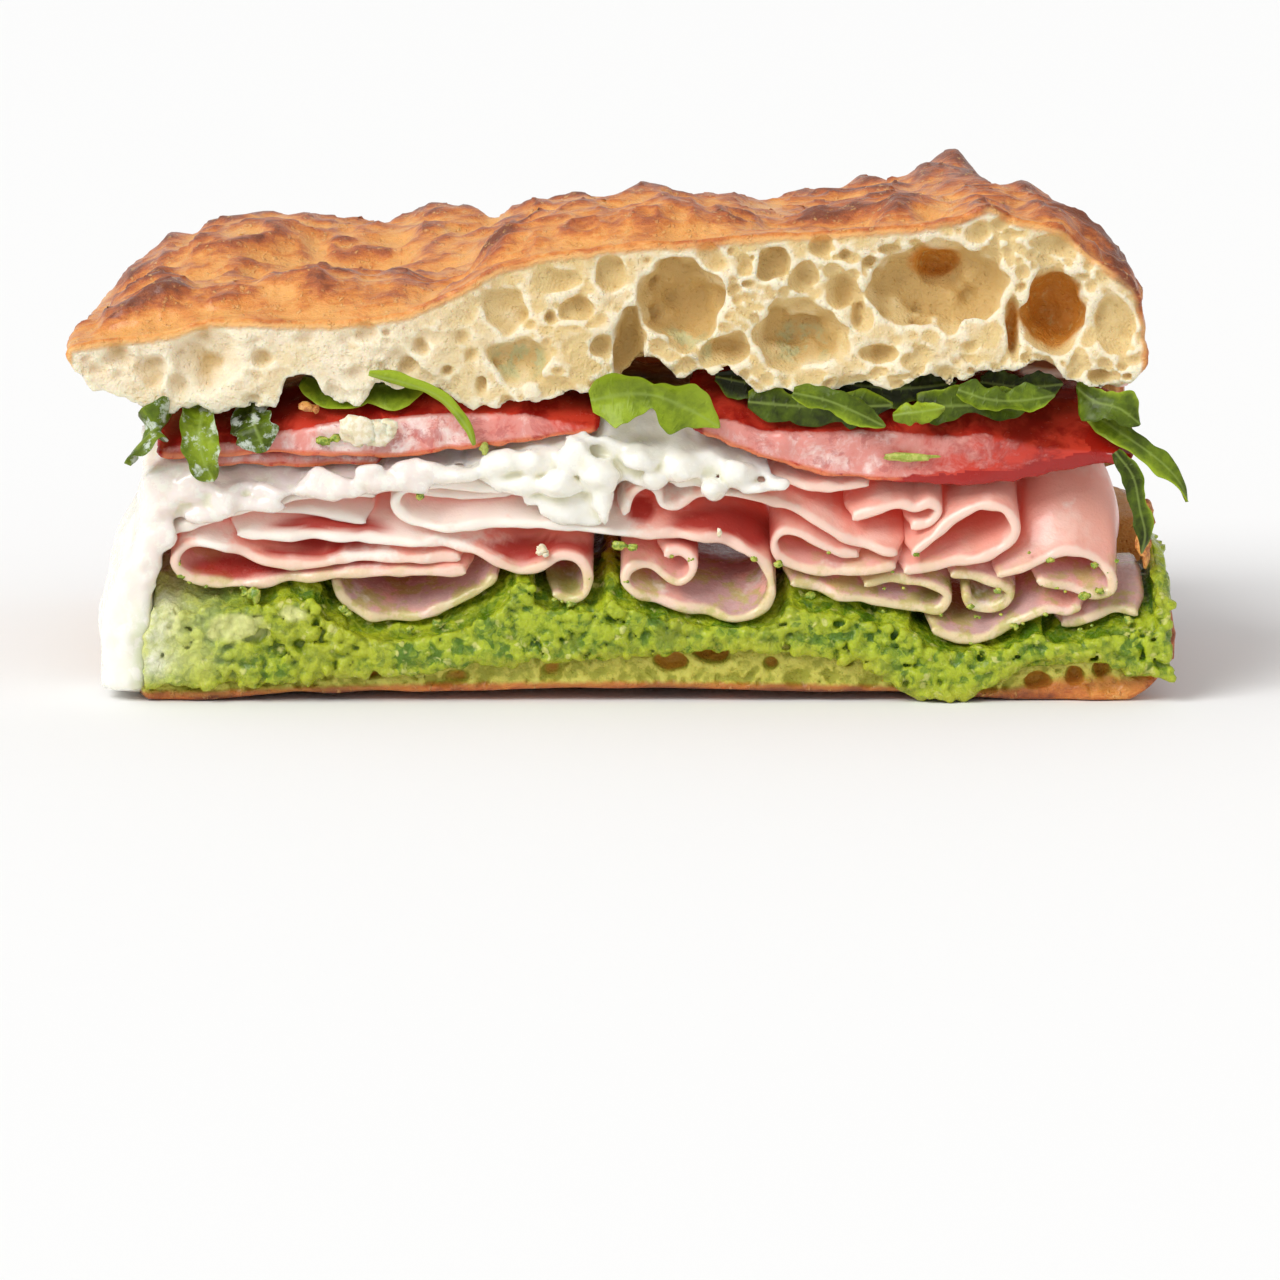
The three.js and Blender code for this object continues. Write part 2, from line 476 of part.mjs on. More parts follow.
function cheese() {
  const [left, right] = [-57.6, 19.6];
  const acrossAt = (u) => mix(left, right, u);
  const layer = slab({
    columns: steps(0, 1, 26),
    rows: [-0.9, 0, ...kinks, 24, 45],
    upper: (u, depth) => {
      const x = acrossAt(u);
      const lump = 0.5 + 0.5 * Math.sin(0.9 * x + 0.4 * depth) * Math.cos(0.35 * depth - 0.5 * x);
      return [x, depth, Math.max(cheeseLine(x) - 0.5 * lump, aboveSlices(x) + 0.7)];
    },
    lower: (u, depth) => [acrossAt(u), depth, aboveSlices(acrossAt(u))],
    rimRows: 3,
    bulge: (u, depth, t) => [0, depth < 0 ? -(1.1 + 0.9 * Math.sin(26 * u + 2)) * Math.sin(Math.PI * t) : 0],
  });
  // The run hangs outside the first slice, thick in its middle and thin at its rim.
  const inside = line([
    [0.8, -62.4], [8, -62.3], [13, -61.0], [17, -59.4], [20, -57.4], [24.6, -56.2], [28.6, -56.4],
  ]);
  const backOf = (u, z) => -1 + 23 * u * (0.55 + z / 62);
  const thick = (u, z) => 0.9 + 1.6 * Math.sin(Math.PI * clamp(0.12 + 0.8 * u)) + 0.03 * z;
  const run = slab({
    columns: steps(0, 1, 7),
    rows: [1.2, 4, 8, 12, 16, 19.5, 22.5, 25.5, 28.4],
    upper: (u, z) => [inside(z) - thick(u, z), backOf(u, z), z],
    lower: (u, z) => [inside(z), backOf(u, z), z],
  });
  return geometryOf(solidOf(layer).add(solidOf(run)));
}

// Arugula: lobed leaves on thin ribs, between tomato and bread and hanging out of the cut.
// Each follows a rib of [x, depth, z] points; its blade spreads sideways along across, up to half its width.
const leaves = [
  { rib: [[-54.6, 3, 35.4], [-56.6, -1.4, 34.6], [-59.6, -2.4, 31.6], [-60.2, -2.6, 30.2]],
    half: 2.2, across: [0.5, 0.7, 0.6], lobes: 1 },
  { rib: [[-50.8, 4, 35.3], [-51.4, -1.4, 34.4], [-51, -2.6, 31.2], [-49.6, -2.8, 28.2]],
    half: 2.8, across: [1, 0.1, 0.1], lobes: 1 },
  { rib: [[-45, 4, 35.4], [-44.6, -1.2, 34.8], [-44, -2, 33.6], [-43.2, -2.2, 31.8]],
    half: 2.8, across: [1, 0, 0.1], lobes: 1 },
  { rib: [[-39, 5, 36.7], [-33, 3.2, 36.9], [-27, 3.4, 37.1], [-21.5, 6, 37.2]],
    half: 3, across: [0, 1, 0.15], lobes: 2 },
  { rib: [[-30.4, -1.2, 41.4], [-26, -1.5, 40.4], [-21.6, -1.7, 38.6], [-18.2, -1.9, 34.8],
          [-17.4, -1.9, 32.6]],
    half: 0.9, across: [0.6, -0.2, 0.8], lobes: 1 },
  { rib: [[-14.5, 6, 37.5], [-11.5, 3.5, 37.3], [-8, 3.6, 37.3], [-4.6, 6, 37.6]],
    half: 3.1, across: [0, 1, 0], lobes: 2 },
  { rib: [[-3, -0.8, 38], [1.6, -1.2, 38.9], [5.4, -1.5, 38.6], [9.4, -1.7, 36.9], [13, -1.7, 34.8]],
    half: 3.2, across: [0, 0.1, 1], lobes: 2 },
  { rib: [[12.5, 3.8, 38], [17, 3.3, 37.4], [21.5, 3.3, 37.1], [25.5, 3.8, 37.1]],
    half: 1.9, across: [0, 0.3, 1], lobes: 2 },
  { rib: [[16.5, 0.9, 37.1], [22.5, 0.6, 36.8], [28.5, 0.6, 36.7], [34.5, 0.9, 36.6]],
    half: 2.3, across: [0, 0.15, 1], lobes: 3 },
  { rib: [[28, 3.8, 37], [33, 3.3, 36.8], [38, 3.3, 36.8], [42.5, 3.8, 37]],
    half: 2.3, across: [0, 0.3, 1], lobes: 3 },
  { rib: [[37.5, 0.9, 36.4], [42.5, 0.6, 36.8], [48, 0.6, 36.9], [53, 0.9, 36.8]],
    half: 2.3, across: [0, 0.15, 1], lobes: 2 },
  { rib: [[45.5, 3.8, 37.1], [49, 3.3, 37], [52.5, 3.3, 36.9], [55.8, 3.8, 36.8]],
    half: 2.3, across: [0, 0.3, 1], lobes: 2 },
  { rib: [[57.5, 2.6, 37.4], [59.6, 0.4, 37.4], [62.2, -0.8, 37], [65, -1.2, 35]],
    half: 2.2, across: [0.1, 0.5, 0.85], lobes: 1 },
  { rib: [[58.6, 4, 33.2], [62, 1.2, 33.4], [66.4, -0.4, 31.2], [69.6, -1, 28.2], [71, -1.2, 25.4]],
    half: 1.5, across: [0.5, 0.5, 0.6], lobes: 1 },
  { rib: [[62, -1, 31.6], [64.2, -1.6, 28.6], [65.1, -1.8, 24.6], [65.8, -1.8, 21.4], [65.4, -1.8, 19]],
    half: 1.2, across: [1, 0, 0.1], lobes: 2 },
  { rib: [[22, -1.3, 39], [26, -1.8, 38.2], [30, -2.1, 36.6], [33.4, -2, 34.9]],
    half: 1.7, across: [0.5, 0.2, 0.9], lobes: 1 },
  { rib: [[34.4, -1.4, 36.2], [37.6, -2, 36.7], [40.8, -1.8, 37.2]],
    half: 1.4, across: [0.1, 0.3, 0.9], lobes: 1 },
  { rib: [[42.4, -1.4, 39.4], [46, -1.9, 38.3], [50, -1.9, 38.1], [54.4, -1.4, 38.7]],
    half: 2.1, across: [0, 0.2, 1], lobes: 2 },
  { rib: [[-58.4, 14, 38], [-52, 11.4, 37.7], [-46, 11.6, 37.6], [-40, 14, 37.8]],
    half: 3.6, across: [0, 1, 0.1], lobes: 2 },
  { rib: [[-20, 16, 38.6], [-12, 12.6, 38.6], [-4, 12.6, 38.7], [3, 15, 38.8]],
    half: 3.8, across: [0, 1, 0.1], lobes: 3 },
  { rib: [[2, 21, 38.9], [10, 17, 38.8], [18, 16.6, 38.6], [26, 20, 38.7]],
    half: 3.8, across: [0, 1, 0.1], lobes: 3 },
];

function leaf({ rib, half, across, lobes }) {
  const curve = new THREE.CatmullRomCurve3(rib.map((p) => new THREE.Vector3(...p)));
  const spread = new THREE.Vector3(...across);
  const turned = new THREE.Vector3().crossVectors(curve.getTangent(0.5), spread).z < 0 ? -1 : 1;
  const lobe = (u) => Math.abs(Math.sin(Math.PI * (0.12 + u * (lobes - 0.18))));
  const width = (u) => half * (0.3 + 0.7 * lobe(u));
  const skin = (offset) => (u, v) => {
    const at = curve.getPoint(u);
    const along = curve.getTangent(u);
    const side = spread.clone().addScaledVector(along, -along.dot(spread)).normalize();
    const out = new THREE.Vector3().crossVectors(along, side).multiplyScalar(turned);
    const dish = -0.1 * half * v * v + 0.12 * Math.sin(9 * u + 2 * v);
    at.addScaledVector(side, width(u) * v).addScaledVector(out, dish + offset);
    return [at.x, at.y, at.z];
  };
  return slab({
    columns: steps(0, 1, 7),
    rows: [-1, 0, 1],
    upper: skin(leafThickness / 2),
    lower: skin(-leafThickness / 2),
  });
}

const looks = {
  bread: { color: "#d99a4e", roughness: 0.55, metalness: 0 },
  pesto: { color: "#8aa83a", roughness: 0.35, metalness: 0 },
  mortadella: { color: "#eebcae", roughness: 0.4, metalness: 0 },
  cheese: { color: "#fbf6ec", roughness: 0.25, metalness: 0 },
  tomato: { color: "#d2402c", roughness: 0.3, metalness: 0 },
  arugula: { color: "#4f7a35", roughness: 0.45, metalness: 0 },
};

const sandwich = new THREE.Group();

function add(name, geometry, look) {
  const mesh = new THREE.Mesh(geometry, new THREE.MeshStandardMaterial(look));
  mesh.name = name;
  sandwich.add(mesh);
}

const numbered = (base, i) => `${base}_${String(i + 1).padStart(2, "0")}`;

add("bread_bottom", lowerBread(), looks.bread);
add("pesto", pesto(), looks.pesto);
slices.forEach((slice, i) => add(numbered("mortadella", i), sliceSolid(slice), looks.mortadella));
add("stracciatella", cheese(), looks.cheese);
for (const [name, sizes] of Object.entries(tomatoes)) add(name, tomato(sizes), looks.tomato);
leaves.forEach((one, i) => add(numbered("arugula", i), leaf(one), looks.arugula));
add("bread_top", upperBread(), looks.bread);

// The origin is on the table under the middle of the whole.
const box = new THREE.Box3().setFromObject(sandwich);
sandwich.position.set(-(box.min.x + box.max.x) / 2, -(box.min.y + box.max.y) / 2, -box.min.z);

export default sandwich;
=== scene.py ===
import math
import bpy
import numpy as np
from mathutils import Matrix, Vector


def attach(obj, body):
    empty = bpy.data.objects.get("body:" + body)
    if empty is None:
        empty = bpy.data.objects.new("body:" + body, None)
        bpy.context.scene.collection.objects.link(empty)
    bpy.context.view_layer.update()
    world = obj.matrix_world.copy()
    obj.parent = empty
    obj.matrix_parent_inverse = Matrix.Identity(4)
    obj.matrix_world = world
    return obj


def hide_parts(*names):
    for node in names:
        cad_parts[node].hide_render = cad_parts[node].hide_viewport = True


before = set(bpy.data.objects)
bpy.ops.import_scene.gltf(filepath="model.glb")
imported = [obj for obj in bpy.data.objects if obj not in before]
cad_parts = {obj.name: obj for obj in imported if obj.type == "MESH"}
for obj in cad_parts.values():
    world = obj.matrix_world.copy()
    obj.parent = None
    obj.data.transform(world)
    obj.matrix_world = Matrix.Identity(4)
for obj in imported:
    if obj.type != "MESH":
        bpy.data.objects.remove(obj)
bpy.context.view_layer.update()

mm = 0.001

# The cut face is drawn as x and z in millimetres, and every shape runs back from it by a depth.
section = {
    "cutDepth": 80, "shiftX": -0.844, "shiftY": -38.403, "lift": 5, "firmBelow": 14,
    # How far the layers lean and sway, and the turn of those waves for each millimetre.
    "lean": 1.5, "leanWaves": (0.03, 0.06), "sway": 1.1, "swayWaves": (0.085, 0.045),
}


def smooth(t):
    t = np.clip(t, 0, 1)
    return t * t * (3 - 2 * t)


def mix(a, b, t):
    return a + (b - a) * t


def line(points, soften=0.7):
    # A height over x through drawn points, with its corners softened over this many millimetres.
    drawn = np.array(points, float)
    fine = np.arange(drawn[0, 0] - 6, drawn[-1, 0] + 6, 0.2)
    heights = np.interp(fine, drawn[:, 0], drawn[:, 1])
    reach = np.arange(-12, 13) * 0.2
    weights = np.exp(-((reach / soften) ** 2))
    padded = np.pad(heights, 12, mode="edge")
    soft = np.convolve(padded, weights / weights.sum(), mode="valid")
    return lambda x: np.interp(x, fine, soft)


# The share of the lift by depth, and by height: the crust above and the base below stay where they are.
behindCut = line([(0, 0), (4, 0.62), (9, 1)], 0.9)
amongLayers = line([(3, 0), (9, 1), (37, 1), (46, 0)], 0.9)


def placed(points):
    # Section to world: the layers rise just behind the cut, and lean and sway alike towards the back.
    x, depth, z = np.asarray(points, float).T
    overDepth, overHeight = section["leanWaves"]
    inward = smooth(depth / section["cutDepth"]) * smooth(z / section["firmBelow"])
    sideways = inward * section["lean"] * np.sin(overDepth * depth + overHeight * z)
    overWidth, overDepth = section["swayWaves"]
    upward = inward * section["sway"] * np.sin(overWidth * x + overDepth * depth)
    upward = upward + section["lift"] * behindCut(depth) * amongLayers(z)
    return np.stack([x + sideways + section["shiftX"], depth + section["shiftY"], z + upward], 1) * mm


def curveThrough(points, perSpan=14):
    # A centripetal curve through the drawn points.
    drawn = np.array(points, float)
    ends = np.vstack([2 * drawn[0] - drawn[1], drawn, 2 * drawn[-1] - drawn[-2]])
    t = np.linspace(0, 1, perSpan, endpoint=False)[:, None]
    spans = []
    for p0, p1, p2, p3 in zip(ends, ends[1:], ends[2:], ends[3:]):
        k0, k1, k2 = (np.linalg.norm(b - a) ** 0.5 for a, b in ((p0, p1), (p1, p2), (p2, p3)))
        m1 = ((p1 - p0) / k0 - (p2 - p0) / (k0 + k1) + (p2 - p1) / k1) * k1
        m2 = ((p2 - p1) / k1 - (p3 - p1) / (k1 + k2) + (p3 - p2) / k2) * k1
        spans.append(p1 + m1 * t + (3 * (p2 - p1) - 2 * m1 - m2) * t**2 + (2 * (p1 - p2) + m1 + m2) * t**3)
    return np.vstack(spans + [drawn[-1:]])


def resampled(points, count):
    # The same line with evenly spaced points.
    travelled = np.concatenate([[0], np.cumsum(np.linalg.norm(np.diff(points, axis=0), axis=1))])
    at = np.linspace(0, travelled[-1], count)
    return np.stack([np.interp(at, travelled, points[:, axis]) for axis in range(points.shape[1])], 1)


def unit(ways):
    return ways / np.linalg.norm(ways, axis=1)[:, None]


def alongAndAcross(path):
    # The ways along a line of x and z, and square to it.
    along = unit(np.gradient(path, axis=0))
    return along, np.stack([-along[:, 1], along[:, 0]], 1)


def lengthOf(points):
    return np.linalg.norm(np.diff(points, axis=0), axis=1).sum()


def noise(x, depth, z, size, seed):
    # Smooth random values from -1 to 1 in lumps of this size.
    table = np.random.default_rng(seed).random((32, 32, 32), dtype=np.float32) * 2 - 1
    cells, shares = [], []
    for values in (x, depth, z):
        at = np.asarray(values, dtype=np.float32) / size + 500
        low = np.floor(at).astype(np.int32)
        cells.append(low)
        shares.append(smooth(at - low))
    total = 0
    for corner in np.ndindex(2, 2, 2):
        weight = 1
        for share, side in zip(shares, corner):
            weight = weight * (share if side else 1 - share)
        total = total + weight * table[tuple((cell + side) % 32 for cell, side in zip(cells, corner))]
    return total


def layered(x, depth, z, size, seed, layers):
    # Noise on noise, each layer half the size and half the strength.
    return sum(noise(x, depth, z, size / 2**i, seed + i) / 2**i for i in range(layers))


def softMax(a, b, blend=0.4):
    overlap = np.maximum(blend - np.abs(a - b), 0) / blend
    return np.maximum(a, b) + overlap * overlap * blend / 4


def softMin(a, b, blend=0.4):
    return -softMax(-a, -b, blend)


class Mass:
    # One food mass as a field over a grid: below zero is inside. Section millimetres.
    # Its steps in depth grow from step to coarse behind fineUntil.
    def __init__(self, wide, deep, high, step=0.36, fineUntil=11, coarse=1.1, easeOver=12):
        self.xs = np.arange(wide[0], wide[1] + step, step)
        self.zs = np.arange(high[0], high[1] + step, step)
        depths = [deep[0]]
        while depths[-1] < deep[1]:
            share = float(smooth((depths[-1] - fineUntil) / easeOver))
            depths.append(depths[-1] + mix(step, coarse, share))
        self.depths = np.array(depths)
        self.x = self.xs[:, None, None]
        self.depth = self.depths[None, :, None]
        self.z = self.zs[None, None, :]
        self.field = None

    def shape(self, field):
        full = (len(self.xs), len(self.depths), len(self.zs))
        self.field = np.array(np.broadcast_to(field, full), dtype=np.float32)

    def roughen(self, amount, size, seed, reach=1.6, where=None):
        # Pushes the surface in and out by noise, with where as a share over x, depth and z.
        at = np.nonzero(np.abs(self.field) < reach)
        x, depth, z = self.xs[at[0]], self.depths[at[1]], self.zs[at[2]]
        strength = amount if where is None else amount * where(x, depth, z)
        self.field[at] += strength * noise(x, depth, z, size, seed)

    def stamp(self, centre, radii, cut=True, blend=0.35, warp=0.0, warpSize=2.2, seed=0, tilt=0.0):
        # Cuts or adds one ellipsoid, its outline pushed about by noise.
        spans, parts = [], []
        margin = max(radii) * 0.35 + blend + warp
        turned = max(radii[0], radii[2]) if tilt else 0
        for axis, middle, radius in zip((self.xs, self.depths, self.zs), centre, radii):
            reach = max(radius, turned if axis is not self.depths else 0) + margin
            low, high = np.searchsorted(axis, [middle - reach, middle + reach])
            if high - low < 2:
                return
            spans.append(slice(low, high))
            parts.append(axis[low:high] - middle)
        x, depth, z = parts[0][:, None, None], parts[1][None, :, None], parts[2][None, None, :]
        if warp:
            seen = (x + centre[0], depth + centre[1], z + centre[2])
            push = [warp * noise(*seen, warpSize, seed + k) for k in range(3)]
            x, depth, z = x + push[0], depth + push[1], z + push[2]
        if tilt:
            x, z = x * math.cos(tilt) + z * math.sin(tilt), z * math.cos(tilt) - x * math.sin(tilt)
        inner = np.sqrt((x / radii[0]) ** 2 + (depth / radii[1]) ** 2 + (z / radii[2]) ** 2)
        slope = np.sqrt((x / radii[0] ** 2) ** 2 + (depth / radii[1] ** 2) ** 2 + (z / radii[2] ** 2) ** 2)
        away = inner * (inner - 1) / np.maximum(slope, 1e-6)
        part = self.field[tuple(spans)]
        self.field[tuple(spans)] = softMax(part, -away, blend) if cut else softMin(part, away, blend)

    def surface(self, coarseFrom=None):
        # One vertex for each grid cell that the surface crosses, one quad for each crossed edge.
        field = self.field
        inside = field < 0
        full = np.array(field.shape) - 1
        corners = list(np.ndindex(2, 2, 2))
        views = [inside[i:full[0] + i, j:full[1] + j, k:full[2] + k] for i, j, k in corners]
        crossed = np.logical_or.reduce(views) & ~np.logical_and.reduce(views)
        cells = np.argwhere(crossed)
        number = np.full(crossed.shape, -1, np.int32)
        number[crossed] = np.arange(len(cells))
        values = [field[cells[:, 0] + i, cells[:, 1] + j, cells[:, 2] + k] for i, j, k in corners]
        total, count = np.zeros((len(cells), 3)), np.zeros(len(cells))
        for a in range(8):
            for b in range(a + 1, 8):
                step = np.subtract(corners[b], corners[a])
                if np.abs(step).sum() != 1:
                    continue
                cut = (values[a] < 0) != (values[b] < 0)
                share = np.where(cut, values[a] / np.where(cut, values[a] - values[b], 1), 0)
                total += cut[:, None] * (np.array(corners[a]) + share[:, None] * step)
                count += cut
        at = total / count[:, None]
        points = np.stack([
            axis[cells[:, k]] + at[:, k] * (axis[cells[:, k] + 1] - axis[cells[:, k]])
            for k, axis in enumerate((self.xs, self.depths, self.zs))
        ], 1)
        quads = []
        for axis in range(3):
            low = [slice(1, -1)] * 3
            high = [slice(1, -1)] * 3
            low[axis], high[axis] = slice(0, -1), slice(1, None)
            edges = np.argwhere(inside[tuple(low)] != inside[tuple(high)])
            offset = np.ones(3, int)
            offset[axis] = 0
            edges = edges + offset
            second, third = (axis + 1) % 3, (axis + 2) % 3
            ring = []
            for back2, back3 in ((1, 1), (0, 1), (0, 0), (1, 0)):
                cell = edges.copy()
                cell[:, second] -= back2
                cell[:, third] -= back3
                ring.append(number[cell[:, 0], cell[:, 1], cell[:, 2]])
            quad = np.stack(ring, 1)
            outward = inside[edges[:, 0], edges[:, 1], edges[:, 2]]
            quads.append(np.where(outward[:, None], quad, quad[:, ::-1]))
        quads = np.vstack(quads)
        faces = np.vstack([quads[:, [0, 1, 2]], quads[:, [0, 2, 3]]])
        if coarseFrom is not None:
            points, faces = merged(points, faces, cells, self.depths[cells[:, 1]] > coarseFrom)
        return largestPiece(points, faces)


def summedBy(at, values, count):
    # The rows of values added up by the numbers in at.
    return np.stack([np.bincount(at, values[:, k], count) for k in range(3)], 1)


def merged(points, faces, cells, coarse):
    # Where the mesh may be coarse, four neighbouring vertices become one.
    wide = np.where(coarse[:, None], cells // [2, 1, 2], cells)
    key = ((wide[:, 0] * 4096 + wide[:, 1]) * 4096 + wide[:, 2]) * 2 + coarse
    _, group = np.unique(key, return_inverse=True)
    group = group.ravel()
    count = np.bincount(group)
    means = summedBy(group, points, len(count)) / count[:, None]
    faces = group[faces]
    whole = (faces[:, 0] != faces[:, 1]) & (faces[:, 1] != faces[:, 2]) & (faces[:, 0] != faces[:, 2])
    return means, faces[whole]


def largestPiece(points, faces):
    # Drops sealed bubbles and loose scraps: only the largest connected piece stays.
    label = np.arange(len(points))
    edges = np.concatenate([faces[:, [0, 1]], faces[:, [1, 2]]])
    while True:
        before = label.copy()
        low = np.minimum(label[edges[:, 0]], label[edges[:, 1]])
        for end in (0, 1):
            np.minimum.at(label, edges[:, end], low)
            np.minimum.at(label, before[edges[:, end]], low)
        label = label[label]
        if (label == before).all():
            break
    kept = label == np.bincount(label).argmax()
    number = np.cumsum(kept) - 1
    return points[kept], number[faces[kept[faces[:, 0]]]]


def standingOut(points, faces, rounds=8):
    # How far each point stands out of its smoothed surroundings, in millimetres.
    sides = np.concatenate([faces[:, [0, 1]], faces[:, [1, 2]], faces[:, [2, 0]]])
    both = np.concatenate([sides, sides[:, ::-1]])
    count = np.maximum(np.bincount(both[:, 0], minlength=len(points)), 1)
    soft = points
    for _ in range(rounds):
        soft = summedBy(both[:, 0], soft[both[:, 1]], len(points)) / count[:, None]
    a, b, c = (points[faces[:, k]] for k in range(3))
    flat = np.cross(b - a, c - a)
    normal = sum(summedBy(faces[:, k], flat, len(points)) for k in range(3))
    normal /= np.linalg.norm(normal, axis=1)[:, None] + 1e-9
    return ((points - soft) * normal).sum(1)


def meshObject(name, points, faces, finish, node=None, values=None):
    # A mesh object from section points, dressed, riding on the sandwich and standing for its node.
    mesh = bpy.data.meshes.new(name)
    mesh.vertices.add(len(points))
    mesh.vertices.foreach_set("co", placed(points).ravel())
    mesh.loops.add(faces.size)
    mesh.loops.foreach_set("vertex_index", faces.ravel().astype(np.int32))
    mesh.polygons.add(len(faces))
    mesh.polygons.foreach_set("loop_start", np.arange(len(faces), dtype=np.int32) * faces.shape[1])
    mesh.polygons.foreach_set("use_smooth", np.ones(len(faces), bool))
    mesh.update(calc_edges=True)
    mesh.validate()
    for key, numbers in (values or {}).items():
        layer = mesh.attributes.new(key, "FLOAT", "POINT")
        layer.data.foreach_set("value", np.asarray(numbers, np.float32))
    piece = bpy.data.objects.new(name, mesh)
    bpy.context.scene.collection.objects.link(piece)
    mesh.materials.append(finish)
    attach(piece, "root")
    if node:
        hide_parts(node)
    print(name, len(faces) * (faces.shape[1] - 2), "triangles")


def ringFaces(stations, ring):
    # Quads round closed rings of points, station after station, with both ends closed flat.
    s, i = np.meshgrid(np.arange(stations - 1), np.arange(ring), indexing="ij")
    here, beside = (s * ring + i).ravel(), (s * ring + (i + 1) % ring).ravel()
    sides = np.stack([here, beside, beside + ring, here + ring], 1)
    half = ring // 2
    i = np.arange(half - 1)
    front = np.stack([i, ring - 1 - i, ring - 2 - i, i + 1], 1)
    back = np.stack([i, i + 1, ring - 2 - i, ring - 1 - i], 1) + (stations - 1) * ring
    return np.vstack([sides, front, back])


class Signal:
    # One socket of a material, so that maths on it reads as an expression.
    def __init__(self, tree, socket):
        self.tree, self.socket = tree, socket

    def maths(self, operation, *others):
        sockets = {i: value for i, value in enumerate((self, *others))}
        return self.tree.node("ShaderNodeMath", {"operation": operation}, sockets)

    def __add__(self, other):
        return self.maths("ADD", other)

    def __sub__(self, other):
        return self.maths("SUBTRACT", other)

    def __rsub__(self, other):
        return (self * -1) + other

    def __mul__(self, other):
        return self.maths("MULTIPLY", other)

    __radd__ = __add__


class Finish:
    # A material: constants go straight on the shader, and what varies is built from nodes.
    def __init__(self, name, **constants):
        self.material = bpy.data.materials.new(name)
        self.material.use_nodes = True
        self.shader = self.material.node_tree.nodes["Principled BSDF"]
        for socket, value in constants.items():
            self.shader.inputs[socket].default_value = value
        self.place = self.node("ShaderNodeTexCoord", output="Object")

    def node(self, kind, settings=None, sockets=None, output=0):
        made = self.material.node_tree.nodes.new(kind)
        for key, value in (settings or {}).items():
            if key == "stops":
                stops = made.color_ramp.elements
                for _ in value[2:]:
                    stops.new(0.5)
                for stop, (at, colour) in zip(stops, value):
                    stop.position = at
                    stop.color = (*colour, 1)
            else:
                setattr(made, key, value)
        for key, value in (sockets or {}).items():
            if isinstance(value, Signal):
                self.material.node_tree.links.new(value.socket, made.inputs[key])
            else:
                made.inputs[key].default_value = value
        return Signal(self, made.outputs[output])

    def warped(self, size, amount):
        # The place pushed about by noise of this size, by up to this many millimetres.
        sockets = {"Vector": self.place, "Scale": 1000 / size, "Detail": 2.0}
        swirl = self.node("ShaderNodeTexNoise", None, sockets, "Color")
        centred = self.vector("SUBTRACT", {0: swirl, 1: (0.5, 0.5, 0.5)})
        push = self.vector("SCALE", {0: centred, "Scale": 2 * amount * mm})
        return self.vector("ADD", {0: self.place, 1: push})

    def vector(self, operation, sockets):
        return self.node("ShaderNodeVectorMath", {"operation": operation}, sockets)

    def lumps(self, size, detail=3, rough=0.55, seed=0.0, stretch=None, where=None):
        # Noise from 0 to 1 with lumps of this size in millimetres.
        where = where or self.place
        if stretch or seed:
            settings = {"vector_type": "POINT"}
            sockets = {"Vector": where, "Scale": stretch or (1, 1, 1), "Location": (seed, seed * 0.7, -seed)}
            where = self.node("ShaderNodeMapping", settings, sockets)
        sockets = {"Vector": where, "Scale": 1000 / size, "Detail": detail, "Roughness": rough}
        return self.node("ShaderNodeTexNoise", None, sockets)

    def pores(self, size, where=None, output="Distance"):
        # Round cells of this size: the distance from each one's middle, or a colour for each.
        sockets = {"Vector": where or self.place, "Scale": 1000 / size, "Randomness": 1.0}
        return self.node("ShaderNodeTexVoronoi", {"feature": "F1"}, sockets, output)

    def value(self, name):
        return self.node("ShaderNodeAttribute", {"attribute_name": name}, output="Fac")

    def between(self, signal, low, high):
        # 0 at low, 1 at high, eased.
        settings = {"interpolation_type": "SMOOTHSTEP", "clamp": True}
        sockets = {"Value": signal, "From Min": low, "From Max": high}
        return self.node("ShaderNodeMapRange", settings, sockets)

    def ramp(self, signal, *stops):
        return self.node("ShaderNodeValToRGB", {"stops": stops}, {"Fac": signal})

    def blend(self, a, b, share):
        first, second = (c if isinstance(c, Signal) else (*c, 1) for c in (a, b))
        return self.node("ShaderNodeMix", {"data_type": "RGBA"}, {0: share, 6: first, 7: second}, output=2)

    def coats(self, look, colour, *layers):
        # Colours of the look over a first colour, each by its own share.
        for name, share in layers:
            colour = self.blend(colour, look[name], share)
        return colour

    def finish(self, colour, roughness=None, height=None, strength=0.4, distance=0.3, **varying):
        links = self.material.node_tree.links
        links.new(colour.socket, self.shader.inputs["Base Color"])
        if roughness is not None:
            links.new(roughness.socket, self.shader.inputs["Roughness"])
        for socket, signal in varying.items():
            links.new(signal.socket, self.shader.inputs[socket.replace("_", " ")])
        if height is not None:
            sockets = {"Height": height, "Strength": strength, "Distance": distance * mm}
            bump = self.node("ShaderNodeBump", None, sockets)
            links.new(bump.socket, self.shader.inputs["Normal"])
        return self.material


breadLook = {
    # Crumb, from its ridges to the floors of the bubbles: its own colours, with a painted highlight for the
    # ridges and painted shade for the hollows and the bubble floors.
    "rim": (0.92, 0.83, 0.63), "ivory": (0.89, 0.78, 0.58), "cream": (0.83, 0.68, 0.42),
    "warm": (0.74, 0.54, 0.22), "caveShade": (0.62, 0.40, 0.14), "deepCaveShade": (0.44, 0.18, 0.030),
    "ember": (0.56, 0.21, 0.022), "greenish": (0.48, 0.50, 0.26), "soaked": (0.37, 0.37, 0.030),
    "soakedLight": (0.59, 0.55, 0.080),
    # Crust, from its valleys to its crests, and where it meets the crumb.
    "flour": (0.92, 0.53, 0.19), "pale": (0.83, 0.39, 0.10), "golden": (0.73, 0.26, 0.046),
    "brown": (0.47, 0.115, 0.020), "dark": (0.20, 0.045, 0.010), "line": (0.88, 0.52, 0.19),
    "base": (0.52, 0.20, 0.028),
}


